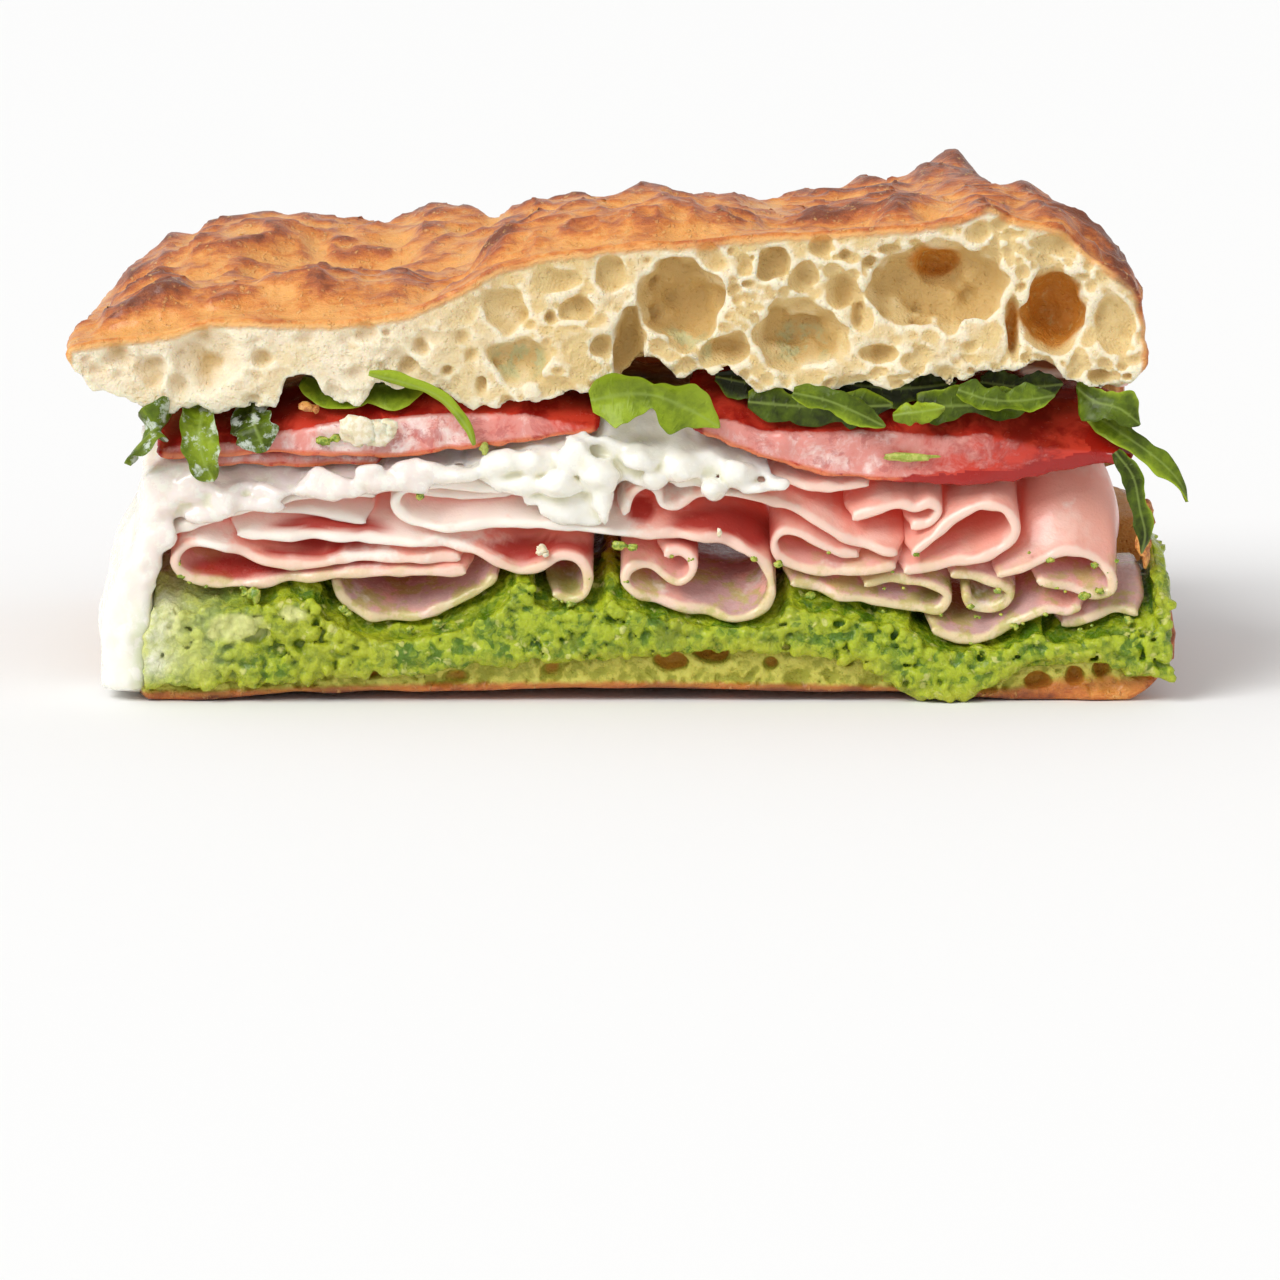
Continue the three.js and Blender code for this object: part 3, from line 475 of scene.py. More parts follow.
def breadFinish(name, soaked=False):
    look = breadLook
    bread = Finish(name, **{
        "Subsurface Weight": 0.35, "Subsurface Scale": 0.0022, "Subsurface Radius": (1.0, 0.62, 0.3),
        "Coat Roughness": 0.2, "Specular IOR Level": 0.35})
    lumps, pores, between, value = bread.lumps, bread.pores, bread.between, bread.value
    grain = lumps(0.9, 4, 0.6)
    patch = lumps(8, 3, 0.5)
    rise, inset = value("rise"), value("inset")
    wander = bread.warped(5, 1.6)
    ridge = between(rise + (grain - 0.5) * 0.1, 0.03, 0.2) * between(inset, 2.6, 1.0)
    pits = between(pores(0.75, where=wander), 0.34, 0.08)
    # The crumb's own colours, with painted shade in its hollows, pores and bubbles, deepening further in,
    # and a painted highlight on its ridges.
    crumb = bread.coats(
        look, look["cream"],
        ("ivory", between(grain * 0.35 + patch * 0.65, 0.38, 0.6)),
        ("warm", value("warm") * between(patch + rise * -0.5, 0.25, 0.5) * 0.85),
        ("caveShade", between(inset + grain * 0.8 - rise * 2, 0.7, 3.8)),
        ("deepCaveShade", between(inset + grain, 5.2, 8.5) * 0.8),
        ("caveShade", between(rise, -0.05, -0.3) * 0.3),
        ("rim", ridge * 0.8),
        ("caveShade", pits * between(lumps(4, 3, 0.6, seed=0.5), 0.4, 0.6) * 0.2))
    if soaked:
        oil = between(value("soak") + lumps(3.5, 4, 0.6) * 0.9, 0.55, 1.0)
        # The soaked crumb is lighter on its grain, and on its ridges as a painted highlight.
        wetAndLitRidges = bread.blend(look["soaked"], look["soakedLight"], between(grain + rise, 0.4, 0.65))
        crumb = bread.blend(crumb, wetAndLitRidges, oil * 0.95)
        # Painted shade in the holes of the soaked crumb: orange-brown, deeper further in.
        crumb = bread.blend(crumb, look["ember"], between(inset + grain * 0.5, 0.9, 1.7) * 0.75)
    else:
        green = value("green") * between(lumps(2.2, 4, 0.6, seed=0.2), 0.42, 0.6)
        # Painted glow where light comes through the crust behind a bubble.
        ember = value("ember") * between(grain, 0.2, 0.5)
        crumb = bread.coats(look, crumb, ("greenish", green * 0.7), ("ember", ember))
    # The crust is darkest on its crests, pale in its valleys, with small light blisters.
    broad = lumps(7, 4, 0.6, where=wander)
    streak = lumps(2.2, 5, 0.75, stretch=(0.5, 1, 1), where=wander)
    tone = value("burn") + rise * 0.5 + (broad - 0.5) * 0.9 + (streak - 0.5) * 1.7 + 0.06
    stops = zip((0.0, 0.28, 0.64, 1.0), ("pale", "golden", "brown", "dark"))
    crust = bread.ramp(tone + 0.2, *[(at, look[shade]) for at, shade in stops])
    blister = between(pores(1.0, where=bread.warped(0.7, 0.6)), 0.4, 0.12)
    speck = blister * between(lumps(2.4, 4, 0.65, seed=0.31), 0.42, 0.6)
    fleck = between(lumps(0.9, 4, 0.75, stretch=(0.6, 1, 1), seed=0.77), 0.54, 0.66)
    edge = value("crust") + (lumps(1.6, 3, 0.6) - 0.5) * 0.7
    toCrumb = between(edge, 0.25, 0.8) * between(patch, 0.2, 0.6)
    crust = bread.coats(
        look, crust, ("flour", speck * 0.6), ("dark", fleck * between(tone, 0.0, 0.6) * 0.5),
        ("base" if soaked else "line", toCrumb * 0.85))
    skin = between(edge, 1.5, 0.8)
    colour = bread.blend(crumb, crust, skin)
    rough = 0.55 - skin * 0.15 + (grain - 0.5) * 0.2
    wrinkle = streak * 1.5 + lumps(0.8, 4, 0.7, stretch=(0.6, 1, 1)) * 0.8 + speck * 0.8
    fine = lumps(0.5, 4, 0.7) * 0.5 - pits * 0.35 + pores(0.4) * 0.25
    height = wrinkle * skin + fine * (1 - skin)
    return bread.finish(colour, rough, height, strength=0.7, distance=0.6, Coat_Weight=skin * 0.32 + 0.03)


upperLoaf = {
    "left": -68.3, "right": 66.3, "seam": 18.0, "ceiling": 40.6, "step": 0.36,
    "crust": line([
        (-68.3, 45.0), (-64, 45.8), (-56, 46.6), (-50, 48.3), (-34, 47.9), (-26, 49.0), (-19.4, 52.1),
        (-14.4, 54.7), (-8.8, 56.3), (5, 57.9), (20, 59.0), (35.6, 59.8), (43.1, 61.2), (46.2, 62.6),
        (49.4, 60.9), (55.6, 59.7), (60, 55.6), (64.4, 52.4), (66.3, 46.5)]),
    # The crest near the cut, and the crust over the back, where it is lower at both ends.
    "near": line([
        (-68.3, 45.4), (-64.8, 46.3), (-64.2, 48.2), (-62.3, 49.8), (-58.6, 51.8), (-55.4, 51.9),
        (-52.3, 50.9), (-49.7, 51.9), (-45.3, 51.9), (-43.5, 53), (-36, 53.4), (-27.1, 52.9),
        (-24, 51.9), (-18.3, 52.2), (-15.8, 55.8), (-13.9, 57.7), (-9, 59.2), (0, 60.2), (6.5, 61.5),
        (12, 60.2), (20, 60), (31, 61), (40, 61.8), (46, 62.8), (53.1, 62.7), (55.6, 61.2), (58.8, 59.2),
        (61.3, 57.5), (64.4, 54.2), (66.3, 50.5)]),
    "far": line([
        (-68.3, 44), (-64.3, 49), (-60.6, 51.6), (-59.3, 53.1), (-55.9, 53.1), (-54.5, 55.6),
        (-49.1, 56.8), (-40.3, 56), (-28.1, 54.8), (-23.3, 55.9), (-18.6, 55.7), (-15.9, 54.3),
        (-12.5, 55.8), (-9.1, 57), (3.1, 58.4), (16, 58.6), (22.8, 58.5), (30.9, 61), (39.7, 61.3),
        (42.4, 62.8), (46.5, 63.6), (49.9, 61.9), (51.9, 58.5), (56, 54), (60, 50), (66.3, 45)]),
    "crumbEdge": line([
        (-68.3, 43.8), (-66.4, 41.6), (-65, 38.9), (-61.9, 38.1), (-58.8, 37.1), (-55, 36.4),
        (-47, 36.6), (-41.8, 37.0), (-40.8, 40.7), (-39.4, 41.8), (-37.5, 41.0), (-36.2, 38.6),
        (-34.4, 37.3), (-31.2, 37.6), (-29.4, 39.3), (-21.9, 38.7), (-19.4, 36.9), (-14.4, 36.9),
        (-8.8, 37.4), (-3.1, 39.0), (2.0, 40.4), (2.9, 43.7), (4.4, 43.2), (7.5, 40.8), (12.4, 41.3),
        (14.4, 42.6), (15.4, 40.8), (17.5, 38.8), (25.6, 39.2), (35.6, 39.4), (38.8, 41.4), (40.9, 39.6),
        (42.5, 41.2), (48.1, 41.6), (53.1, 43.2), (55.6, 40.3), (57.5, 39.6), (62.5, 39.0), (64.5, 40.5),
        (66.3, 43)], 0.35),
    "hills": [
        (-36, 31, -3.4, 13), (-56, 32, -1.8, 9), (-6, 20, 0.8, 6), (7, 30, 1.6, 6), (22, 24, -1.6, 8),
        (34, 14, 0.9, 6), (24, 44, 0.8, 7), (42, 32, -1.2, 8), (-28, 10, 0.6, 6), (-46, 58, 0.8, 7)],
    # Where the crust is baked darkest: x, depth, half width, half depth, strength.
    "burns": [
        (-60, 9, 5, 4, 0.9), (-51, 12, 5, 3, 0.8), (-36, 14, 9, 3, 0.9), (-23, 12, 5, 3, 0.8),
        (-52, 56, 7, 6, 0.3), (-15, 18, 3.5, 9, 0.9), (-12, 40, 5, 7, 0.5), (5, 34, 8, 7, 0.7),
        (28, 11, 9, 3, 1.0), (38, 46, 10, 8, 0.8), (50, 8, 5, 6, 0.5), (58, 13, 6, 8, 0.9),
        (64, 22, 5, 10, 0.8), (-30, 62, 12, 6, 0.2), (8, 66, 12, 6, 0.7), (44, 70, 12, 7, 0.8),
        (-62, 40, 4, 10, 0.5)],
    # Bubbles of the crumb that the knife opened: x, z, half width, half height, how deep each goes in.
    "bubbles": [
        (8.0, 50.2, 5.9, 5.4, 5.5), (1.7, 44.6, 2.1, 5.2, 4.5), (22.9, 45.9, 5.6, 4.4, 4.5),
        (40, 52.2, 8.8, 5.4, 4.8), (54.2, 49.0, 4.1, 5.0, 6.5), (49.2, 47, 1.1, 3.8, 3),
        (-11.7, 42.8, 3.8, 2.8, 3), (-13.5, 49.2, 2.9, 2.8, 1.5), (-0.6, 53.6, 2.1, 2.4, 1.8),
        (-4.4, 49.5, 2.1, 1.7, 1.8), (-7.2, 53.0, 3.2, 1.6, 1.2), (19.4, 55.0, 1.9, 2.4, 2.4),
        (23.2, 53.2, 1.9, 1.9, 1.6), (28.2, 51.3, 2.2, 2.4, 2.2), (-25.6, 42.1, 1.3, 1.3, 1.6),
        (-50.6, 43, 3.8, 4.0, 2), (-43.6, 42.9, 1.2, 1.2, 1.6), (61.6, 47.4, 2.6, 3.6, 1.6),
        (-1.2, 44.6, 1.6, 1.4, 1.6), (32.6, 43.6, 2.2, 1.2, 1.8), (40, 54.2, 3.4, 2.8, 7.5),
        (25.5, 56.9, 1.2, 1.3, 1.5), (28.5, 56, 0.8, 0.7, 1.0), (34, 56.6, 1.5, 0.6, 1.2),
        (37, 57.4, 0.8, 0.6, 1.0), (31.6, 55.2, 0.8, 0.8, 1.2), (30.2, 48.8, 0.9, 1.8, 2.2),
        (-24, 44.6, 1.0, 1.1, 1.4), (-17.9, 43.4, 0.9, 0.9, 1.2), (-20.7, 41.4, 0.8, 0.8, 1.2),
        (-16.4, 39.6, 0.8, 1.3, 1.6), (60, 40.6, 1.4, 1.0, 2.0), (-10.6, 47.2, 0.8, 0.7, 1.0),
        (-8.1, 48.4, 0.8, 0.8, 1.0), (54.4, 57.4, 2.6, 1.4, 1.0), (13.6, 44.0, 3.2, 2.2, 2.6),
        (-57, 41.5, 2.4, 2.4, 1.2), (46.6, 55, 1.1, 2.0, 1.6)],
    # Where the crumb is tinted green: x, z and half sizes.
    "greens": [(22.9, 44.6, 4, 2.6), (-11.7, 42.6, 3.6, 2.8), (8, 44, 4.4, 2.6)],
    # Where light comes through the crust behind a bubble, in the same form.
    "embers": [(54.2, 49.0, 4.6, 5.4), (49.2, 47, 1.2, 4), (39.6, 55, 3.2, 2.2), (60.5, 57, 4, 1.8)],
    # Small cells side by side over the cut: how many, from where to where, how deep, and their radii.
    "cells": 640, "cellSpan": (-66, 65), "cellFace": -0.25, "cellSizes": (0.4, 1.7),
    # Knobs of the crust at the right end, with the height and size of the large and the small ones.
    "knobs": {"from": 50, "over": 10, "big": (1.0, 3.0), "small": (0.4, 1.3)},
}
# The baked right edge starts behind the open end of the filling. Both edges fall over this far, down
# to a lip above the seam.
bakedEdge = {"from": 28, "over": 14, "fall": 20, "lip": 4}


def wrinkles(x, depth):
    # Relief of the crust below the size of its hills: creased folds and small blisters, level on average.
    flat = np.zeros_like(x + depth)
    folds = 0.28 - np.abs(noise(0.75 * x, depth, flat, 7.5, 11))
    small = 0.28 - np.abs(noise(0.8 * x, depth, flat, 3.1, 12))
    fine = 0.28 - np.abs(noise(x, depth, flat, 1.5, 14))
    return 1.7 * folds + 1.0 * small + 0.5 * fine + 0.45 * noise(x, depth, flat, 12, 13)


def crags(x, depth):
    wide = np.sin(0.36 * x + 1.3 * np.sin(0.11 * depth)) * np.sin(0.29 * depth + 1.1 * np.sin(0.13 * x))
    return 0.5 * wide + 0.25 * np.sin(0.61 * x - 0.23 * depth + 1)


def rightEdge(base, depth):
    return base - 13 * np.clip((depth - 62) / 18, 0, 1) ** 2


def rounding(inside, span):
    return 1 - np.sqrt(1 - np.clip(1 - inside / span, 0, 1) ** 2)


def sideShare(depth):
    return smooth((depth - bakedEdge["from"]) / bakedEdge["over"])


def loafTop(x, depth):
    loaf = upperLoaf
    crest = mix(loaf["near"](x), loaf["far"](x), smooth((depth - 22) / 26))
    z = mix(loaf["crust"](x), crest, smooth(depth / 9))
    for hillX, hillDepth, rise, radius in loaf["hills"]:
        z = z + rise * np.exp(-((x - hillX) ** 2 + (depth - hillDepth) ** 2) / radius**2) * smooth(depth / 5)
    z = z + crags(x, depth) * smooth(depth / 6) + wrinkles(x, depth) * smooth((depth + 1.5) / 5)
    side = rightEdge(loaf["right"], depth) - x
    low = loaf["seam"] + bakedEdge["lip"]
    z = mix(z, low, sideShare(depth) * rounding(side, bakedEdge["fall"]))
    return mix(z, low, rounding(section["cutDepth"] - depth, bakedEdge["fall"]))


def loafUnder(x, depth):
    loaf = upperLoaf
    inner = mix(loaf["crumbEdge"](x), loaf["ceiling"], smooth(depth / 7))
    side = rightEdge(loaf["right"], depth) - x
    back = smooth((13 - section["cutDepth"] + depth) / 9) * smooth((x + 64) / 6)
    right = sideShare(depth) * smooth((9 - side) / 6)
    return mix(inner, loaf["seam"], np.maximum(back, right))


def patches(x, z, spots):
    # 1 inside any of these ellipses of x, z and half sizes, eased to 0 round them.
    away = [((x - sx) / wide) ** 2 + ((z - sz) / high) ** 2 for sx, sz, wide, high in spots]
    return smooth(1.5 - np.min(away, axis=0))


def foamCells(body, draw, loaf, lowAt, highAt):
    # Shallow cells side by side over the cut, with thin ridges between them, outside the large bubbles.
    large = [(bx, bz, wide, high) for bx, bz, wide, high, _ in loaf["bubbles"] if wide > 1.8]
    taken = np.zeros((0, 3))
    for _ in range(loaf["cells"] * 9):
        if len(taken) >= loaf["cells"]:
            break
        x = draw.uniform(*loaf["cellSpan"])
        low, high = float(lowAt(x)), float(highAt(x))
        if high <= low:
            continue
        z = draw.uniform(low, high)
        radius = loaf["cellSizes"][0] + loaf["cellSizes"][1] * draw.random() ** 2.4
        if patches(x, z, large) > 0.2:
            continue
        apart = 0.84 * (radius + taken[:, 2])
        if ((x - taken[:, 0]) ** 2 + (z - taken[:, 1]) ** 2 < apart**2).any():
            continue
        taken = np.vstack([taken, (x, z, radius)])
        sunk = draw.uniform(0.35, 0.86)
        whole = radius / math.sqrt(1 - sunk**2)
        radii = (whole * draw.uniform(0.95, 1.3), whole, whole * draw.uniform(0.75, 1.0))
        middle = (x, loaf["cellFace"] - sunk * whole, z)
        body.stamp(middle, radii, blend=0.14, warp=0.45, seed=300, tilt=draw.uniform(-0.8, 0.8))


def makeUpperBread():
    loaf = upperLoaf
    body = Mass((-70.5, 68.4), (-1.6, 81.6), (17, 67), loaf["step"])
    x, depth, z = body.x, body.depth, body.z
    torn = 0.6 * noise(x, depth, 0 * x, 2.6, 21) + 0.5 * noise(x, depth, 0 * x, 1.1, 23)
    front = -depth - 0.25 + 0.5 * noise(x, 0 * depth, z, 6.0, 22)
    sides = softMax(loaf["left"] - x, x - rightEdge(loaf["right"], depth), 0.5)
    field = softMax(z - loafTop(x, depth), sides, 2.2)
    field = softMax(field, loafUnder(x, depth) + torn - z, 1.2)
    field = softMax(field, depth - section["cutDepth"], 1.5)
    body.shape(softMax(field, front, 0.5))

    def cellsAbove(x):
        return loaf["crumbEdge"](x) + 0.2

    def cellsBelow(x):
        return loaf["crust"](x) - 2.0

    def inCrumb(x, depth, z):
        return smooth((loafTop(x, depth) - z - 0.8) / 1.2)

    def onKnobs(x, depth, z):
        along = smooth((x - loaf["knobs"]["from"]) / loaf["knobs"]["over"])
        return along * smooth((z - loafTop(x, depth) + 5) / 3)

    foamCells(body, np.random.default_rng(7), loaf, cellsAbove, cellsBelow)
    for i, (x, z, halfWidth, halfHeight, deep) in enumerate(loaf["bubbles"]):
        radii = (halfWidth * 1.02, deep, halfHeight * 1.02)
        warp = 0.28 * min(halfWidth, halfHeight) ** 0.8
        body.stamp((x, -0.1 * deep, z), radii, warp=warp, seed=40 + 3 * i)
    body.roughen(0.2, 2.2, 31, where=inCrumb)
    body.roughen(0.14, 0.9, 33, where=inCrumb)
    body.roughen(*loaf["knobs"]["big"], 35, reach=2.6, where=onKnobs)
    body.roughen(*loaf["knobs"]["small"], 36, where=onKnobs)
    points, faces = body.surface(coarseFrom=8)
    x, depth, z = points.T
    top = loafTop(x, depth)
    turns = (0, 1.57, 3.14, 4.71)
    around = sum(loafTop(x + 3.6 * math.cos(turn), depth + 3.6 * math.sin(turn)) for turn in turns) / 4
    nudge = 0.3
    slopeX = (loafTop(x + nudge, depth) - top) / nudge
    slopeD = (loafTop(x, depth + nudge) - top) / nudge
    below = (top - z) / np.sqrt(1 + np.minimum(slopeX**2 + slopeD**2, 60))
    fromSide = np.minimum(rightEdge(loaf["right"], depth) - x, x - loaf["left"])
    fromBack = section["cutDepth"] - depth
    crust = np.minimum(below, np.minimum(fromSide, fromBack))
    burn = np.zeros(len(points))
    for burnX, burnDepth, wide, deep, strength in loaf["burns"]:
        spot = np.exp(-((x - burnX) / wide) ** 2 - ((depth - burnDepth) / deep) ** 2)
        burn = np.maximum(burn, strength * spot)
    crest = np.clip(0.4 * (top - around), -0.25, 0.5) * smooth((fromBack - 6) / 12)
    burn = 0.6 * burn + crest + 0.3 * smooth((x - 54) / 8) + 0.12 * smooth((depth - 62) / 10)
    values = {
        "crust": crust, "inset": np.clip(depth, 0, 8) * (crust > 1.0), "burn": burn,
        "green": patches(x, z, loaf["greens"]) * smooth(depth / 1.5), "warm": smooth((x + 34) / 24),
        "ember": patches(x, z, loaf["embers"]) * smooth((depth - 0.8) / 1.5),
        "rise": standingOut(points, faces),
    }
    meshObject("upper_bread", points, faces, breadFinish("upperBread"), "bread_top", values)


makeUpperBread()

lowerLoaf = {
    "left": -59.6, "right": 69.3, "seam": 12.0, "archHeight": 1.2, "archHalf": 52, "step": 0.36,
    "bed": line([
        (-59.6, 6.4), (-40, 6), (-12, 6), (0, 6.8), (10, 8.2), (28, 7.8), (38, 5.4), (50, 4.6),
        (62, 5.4), (69.3, 8.6)], 1.4),
    "bubbles": [
        (-41.6, 3.1, 1.7, 1.1, 2), (-30.4, 3.5, 2.3, 0.8, 2), (6.9, 4.9, 2.5, 1.2, 2.6),
        (12.0, 6.0, 2.5, 1.3, 3), (19.6, 4.6, 1.1, 0.8, 1.6), (29, 5.2, 0.9, 0.9, 1.4),
        (53, 2.6, 1.9, 1.0, 2.4), (57.4, 3.2, 1.2, 1.1, 2), (60.9, 4.1, 1.2, 1.3, 2.6),
        (-51, 4.4, 1.0, 0.9, 1.5), (-20, 3.0, 1.6, 0.9, 1.6), (-8, 4.2, 1.5, 1.0, 1.8),
        (38, 3.2, 1.2, 0.9, 1.4), (65.6, 4.6, 1.1, 1.0, 1.6)],
    "cells": 420, "cellSpan": (-59, 68.5), "cellFace": -0.1, "cellSizes": (0.4, 1.1),
}


def loafBed(x, depth):
    loaf = lowerLoaf
    side = rightEdge(loaf["right"], depth) - x
    back = smooth((10 - section["cutDepth"] + depth) / 6)
    right = smooth((depth - 33) / 7) * smooth((8.5 - side) / 5)
    return mix(loaf["bed"](x), loaf["seam"], np.maximum(back, right))


def loafBase(x, depth):
    loaf = lowerLoaf
    arch = loaf["archHeight"] * np.clip(1 - (x / loaf["archHalf"]) ** 2, 0, 1)
    side = rightEdge(loaf["right"], depth) - x
    fromBack = np.clip(1 - (section["cutDepth"] - depth) / 7, 0, 1)
    return arch + 4 * np.maximum(fromBack, np.clip(1 - side / 5.5, 0, 1)) ** 2


def makeLowerBread():
    loaf = lowerLoaf
    body = Mass((-61.5, 71.6), (-1.6, 82.4), (-0.8, 19), loaf["step"])
    x, depth, z = body.x, body.depth, body.z
    swell = np.sin(np.pi * np.clip(z / 17, 0, 1))
    front = -depth - 0.1 + 0.35 * noise(x, 0 * depth, z, 4.0, 61)
    right = x - rightEdge(loaf["right"], depth) - 0.8 * swell
    left = loaf["left"] - x + 0.5 * noise(0 * x, depth, z, 3.0, 62)
    base = loafBase(x, depth)
    # The base may only be uneven where it is off the table.
    uneven = (0.25 + 0.25 * noise(x, depth, 0 * x, 5, 63)) * smooth(base / 0.5) + 0.12
    field = softMax(base + uneven - z, softMax(right, left, 0.5), 1.2)
    field = softMax(field, depth - section["cutDepth"] - 1.2 * swell, 1.5)
    field = softMax(field, z - loafBed(x, depth), 1.0)
    body.shape(softMax(field, front, 0.5))

    def cellsAbove(x):
        return loafBase(x, 0) + 1.5

    def cellsBelow(x):
        return loaf["bed"](x) - 0.2

    def inCrumb(x, depth, z):
        return smooth((z - loafBase(x, depth) - 0.8) / 0.8)

    foamCells(body, np.random.default_rng(17), loaf, cellsAbove, cellsBelow)
    for i, (x, z, halfWidth, halfHeight, deep) in enumerate(loaf["bubbles"]):
        body.stamp((x, -0.1 * deep, z), (halfWidth, deep, halfHeight), warp=0.25, seed=70 + 3 * i)
    body.roughen(0.22, 1.7, 64, where=inCrumb)
    body.roughen(0.14, 0.8, 65, where=inCrumb)
    points, faces = body.surface(coarseFrom=8)
    x, depth, z = points.T
    fromSide = rightEdge(loaf["right"], depth) - x + 0.8
    fromBack = section["cutDepth"] - depth + 1.2
    upBase = (z - loafBase(x, depth)) * mix(1.0, 0.42, smooth((x - 44) / 14))
    crust = np.minimum(upBase, np.minimum(fromSide, fromBack))
    values = {
        "crust": crust - 0.1, "inset": np.clip(depth, 0, 6) * (crust > 1.0),
        "burn": 0.45 + 0.4 * noise(x, depth, z, 7, 66), "warm": np.ones(len(points)),
        "soak": smooth((z - 0.2) / 2.0) * smooth((14 - depth) / 8 + 0.3), "rise": standingOut(points, faces),
    }
    finish = breadFinish("lowerBread", soaked=True)
    meshObject("lower_bread", points, faces, finish, "bread_bottom", values)


makeLowerBread()

# Folded slices of mortadella, from the left: the middle line of each as the cut shows it, and the
# depths where it starts and ends. One fold opens towards the back into the line given as inner.
slices = [
    {"drawn": [
        (-60.9, 9.6), (-59.9, 13.2), (-58.5, 16.6), (-56.6, 19.5), (-54.1, 21.3), (-47.2, 23.3),
        (-37.9, 25.5), (-33.1, 25.8), (-29.9, 25.2)], "start": 0.4, "end": 63},
    {"drawn": [(-44.6, 22.5), (-39.6, 22.3), (-31.1, 21.4)], "start": 1.6, "end": 48},
    {"drawn": [
        (-47.1, 20.7), (-38.8, 20.5), (-26.9, 19.9), (-21.2, 19.5), (-17.1, 18.7), (-14.4, 17.3),
        (-11.9, 16.3), (-9.2, 16.8), (-6.9, 17.9), (-4.6, 17.5), (-3.4, 15.6), (-3.8, 13.5),
        (-5.6, 12.4), (-7.8, 13.1)], "start": 0, "end": 66},
    {"drawn": [
        (-18.6, 16.0), (-28.1, 16.2), (-33.1, 16.0), (-39.4, 15.3), (-45.6, 14.5), (-50.9, 14.6),
        (-53.9, 15.8), (-54.9, 17.6), (-53.8, 19.2), (-51.2, 19.7), (-47.9, 19.0), (-45.1, 17.8),
        (-41.2, 17.1), (-37.1, 17.2), (-32.9, 17.8), (-27.9, 17.8), (-19.3, 17.5)], "start": 0, "end": 60},
    {"drawn": [
        (-35.2, 13.9), (-34.1, 11.7), (-31.2, 9.9), (-26.9, 9.1), (-21.9, 10.2), (-17.5, 12.4),
        (-14.8, 14.7)], "start": 1.2, "end": 52},
    {"drawn": [
        (-13.8, 26.1), (-22.9, 27.2), (-26.2, 26.6), (-27.4, 24.6), (-25.9, 22.7), (-21.9, 21.8),
        (-16.2, 22.2), (-9.4, 22.2), (4.4, 20.7), (10.6, 20.4), (15.4, 19.2), (18.6, 16.8), (19.5, 13.8),
        (18.2, 11.3), (15.4, 10.3), (10.6, 11.1), (3.1, 13.2), (1.2, 14.9), (2.0, 16.5), (4.1, 16.6),
        (7.9, 14.8), (9.5, 16.0), (9.6, 17.6), (8.1, 18.4), (6.1, 18.1)], "start": 0, "end": 65},
    {"drawn": [(-24.2, 24.7), (-21.2, 24.3), (-11.6, 24.3)], "start": 2.2, "end": 50},
    {"drawn": [
        (1.1, 23.4), (2.0, 25.7), (3.8, 26.8), (5.2, 25.9), (5.9, 24.1), (7.6, 23.8), (9.8, 25.2),
        (12.6, 26.0), (16.2, 25.6), (23.8, 22.9), (29.6, 19.6), (32.6, 18.9),
        (35.2, 18.3)], "start": 0.2, "end": 58},
    {"drawn": [
        (14.8, 27.9), (19.1, 26.9), (23.1, 26.1), (27.5, 26.1), (31.6, 26.3)], "start": 1, "end": 44},
    {"drawn": [
        (29.6, 22.0), (32.4, 23.2), (35.6, 23.9), (37.4, 23.5), (39.2, 24.2), (40.3, 23.3), (39.4, 21.7),
        (36.9, 20.9)], "start": 0.8, "end": 30},
    {"drawn": [
        (30.4, 17.5), (27.9, 18.1), (25.4, 19.3), (23.1, 20.5), (20.9, 20.7), (19.9, 19.4), (20.2, 17.5),
        (22.0, 16.3), (25.0, 15.7), (29.1, 15.8), (32.5, 16.2), (35.0, 16.5)], "start": 0.4, "end": 56},
    {"drawn": [
        (37.0, 18.3), (39.4, 20.1), (42.5, 22.6), (45.6, 24.3), (48.4, 24.0), (49.9, 21.7), (49.0, 19.4),
        (46.2, 17.8), (41.2, 16.7), (36.0, 16.1)], "start": 0.1, "end": 54},
    {"drawn": [
        (47.6, 15.8), (49.6, 16.3), (52.9, 17.4), (56.4, 18.5), (59.6, 17.5), (61.9, 15.5), (61.9, 13.8),
        (59.4, 13.2), (55.6, 14.2), (52.6, 15.0)],
     "inner": [
         (49.8, 15.4), (51.4, 18.0), (52.2, 22.4), (55.0, 26.0), (59.4, 25.6), (62.3, 20.4),
         (62.6, 14.8), (59.8, 13.3), (56.0, 14.2), (53.2, 15.2)], "opens": 9, "start": 0, "end": 31},
    {"drawn": [
        (31.1, 14.0), (35.4, 14.4), (39.4, 13.9), (41.5, 12.6), (40.6, 10.9), (37.5, 10.8), (33.1, 11.5),
        (29.1, 12.5), (21.9, 14.0)], "start": 0.6, "end": 50},
    {"drawn": [
        (43.8, 12.9), (44.3, 11.4), (46.2, 10.6), (48.5, 11.4), (49.4, 12.9), (48.2, 13.9), (46.2, 14.3),
        (41.9, 15.0)], "start": 0.9, "end": 40},
    {"drawn": [
        (39.6, 8.9), (41.9, 8.0), (45.0, 7.6), (48.5, 8.6), (51.9, 10.4), (54.4, 11.2), (56.5, 10.8),
        (58.2, 11.4)], "start": 0.3, "end": 34},
    {"drawn": [(55.9, 8.5), (58.8, 9.4), (61.9, 10.1), (65.4, 10.3)], "start": 0.9, "end": 19},
    {"drawn": [(51.0, 35.4), (56.0, 35.0), (60.0, 34.7), (64.0, 33.7)], "start": 11, "end": 28},
]
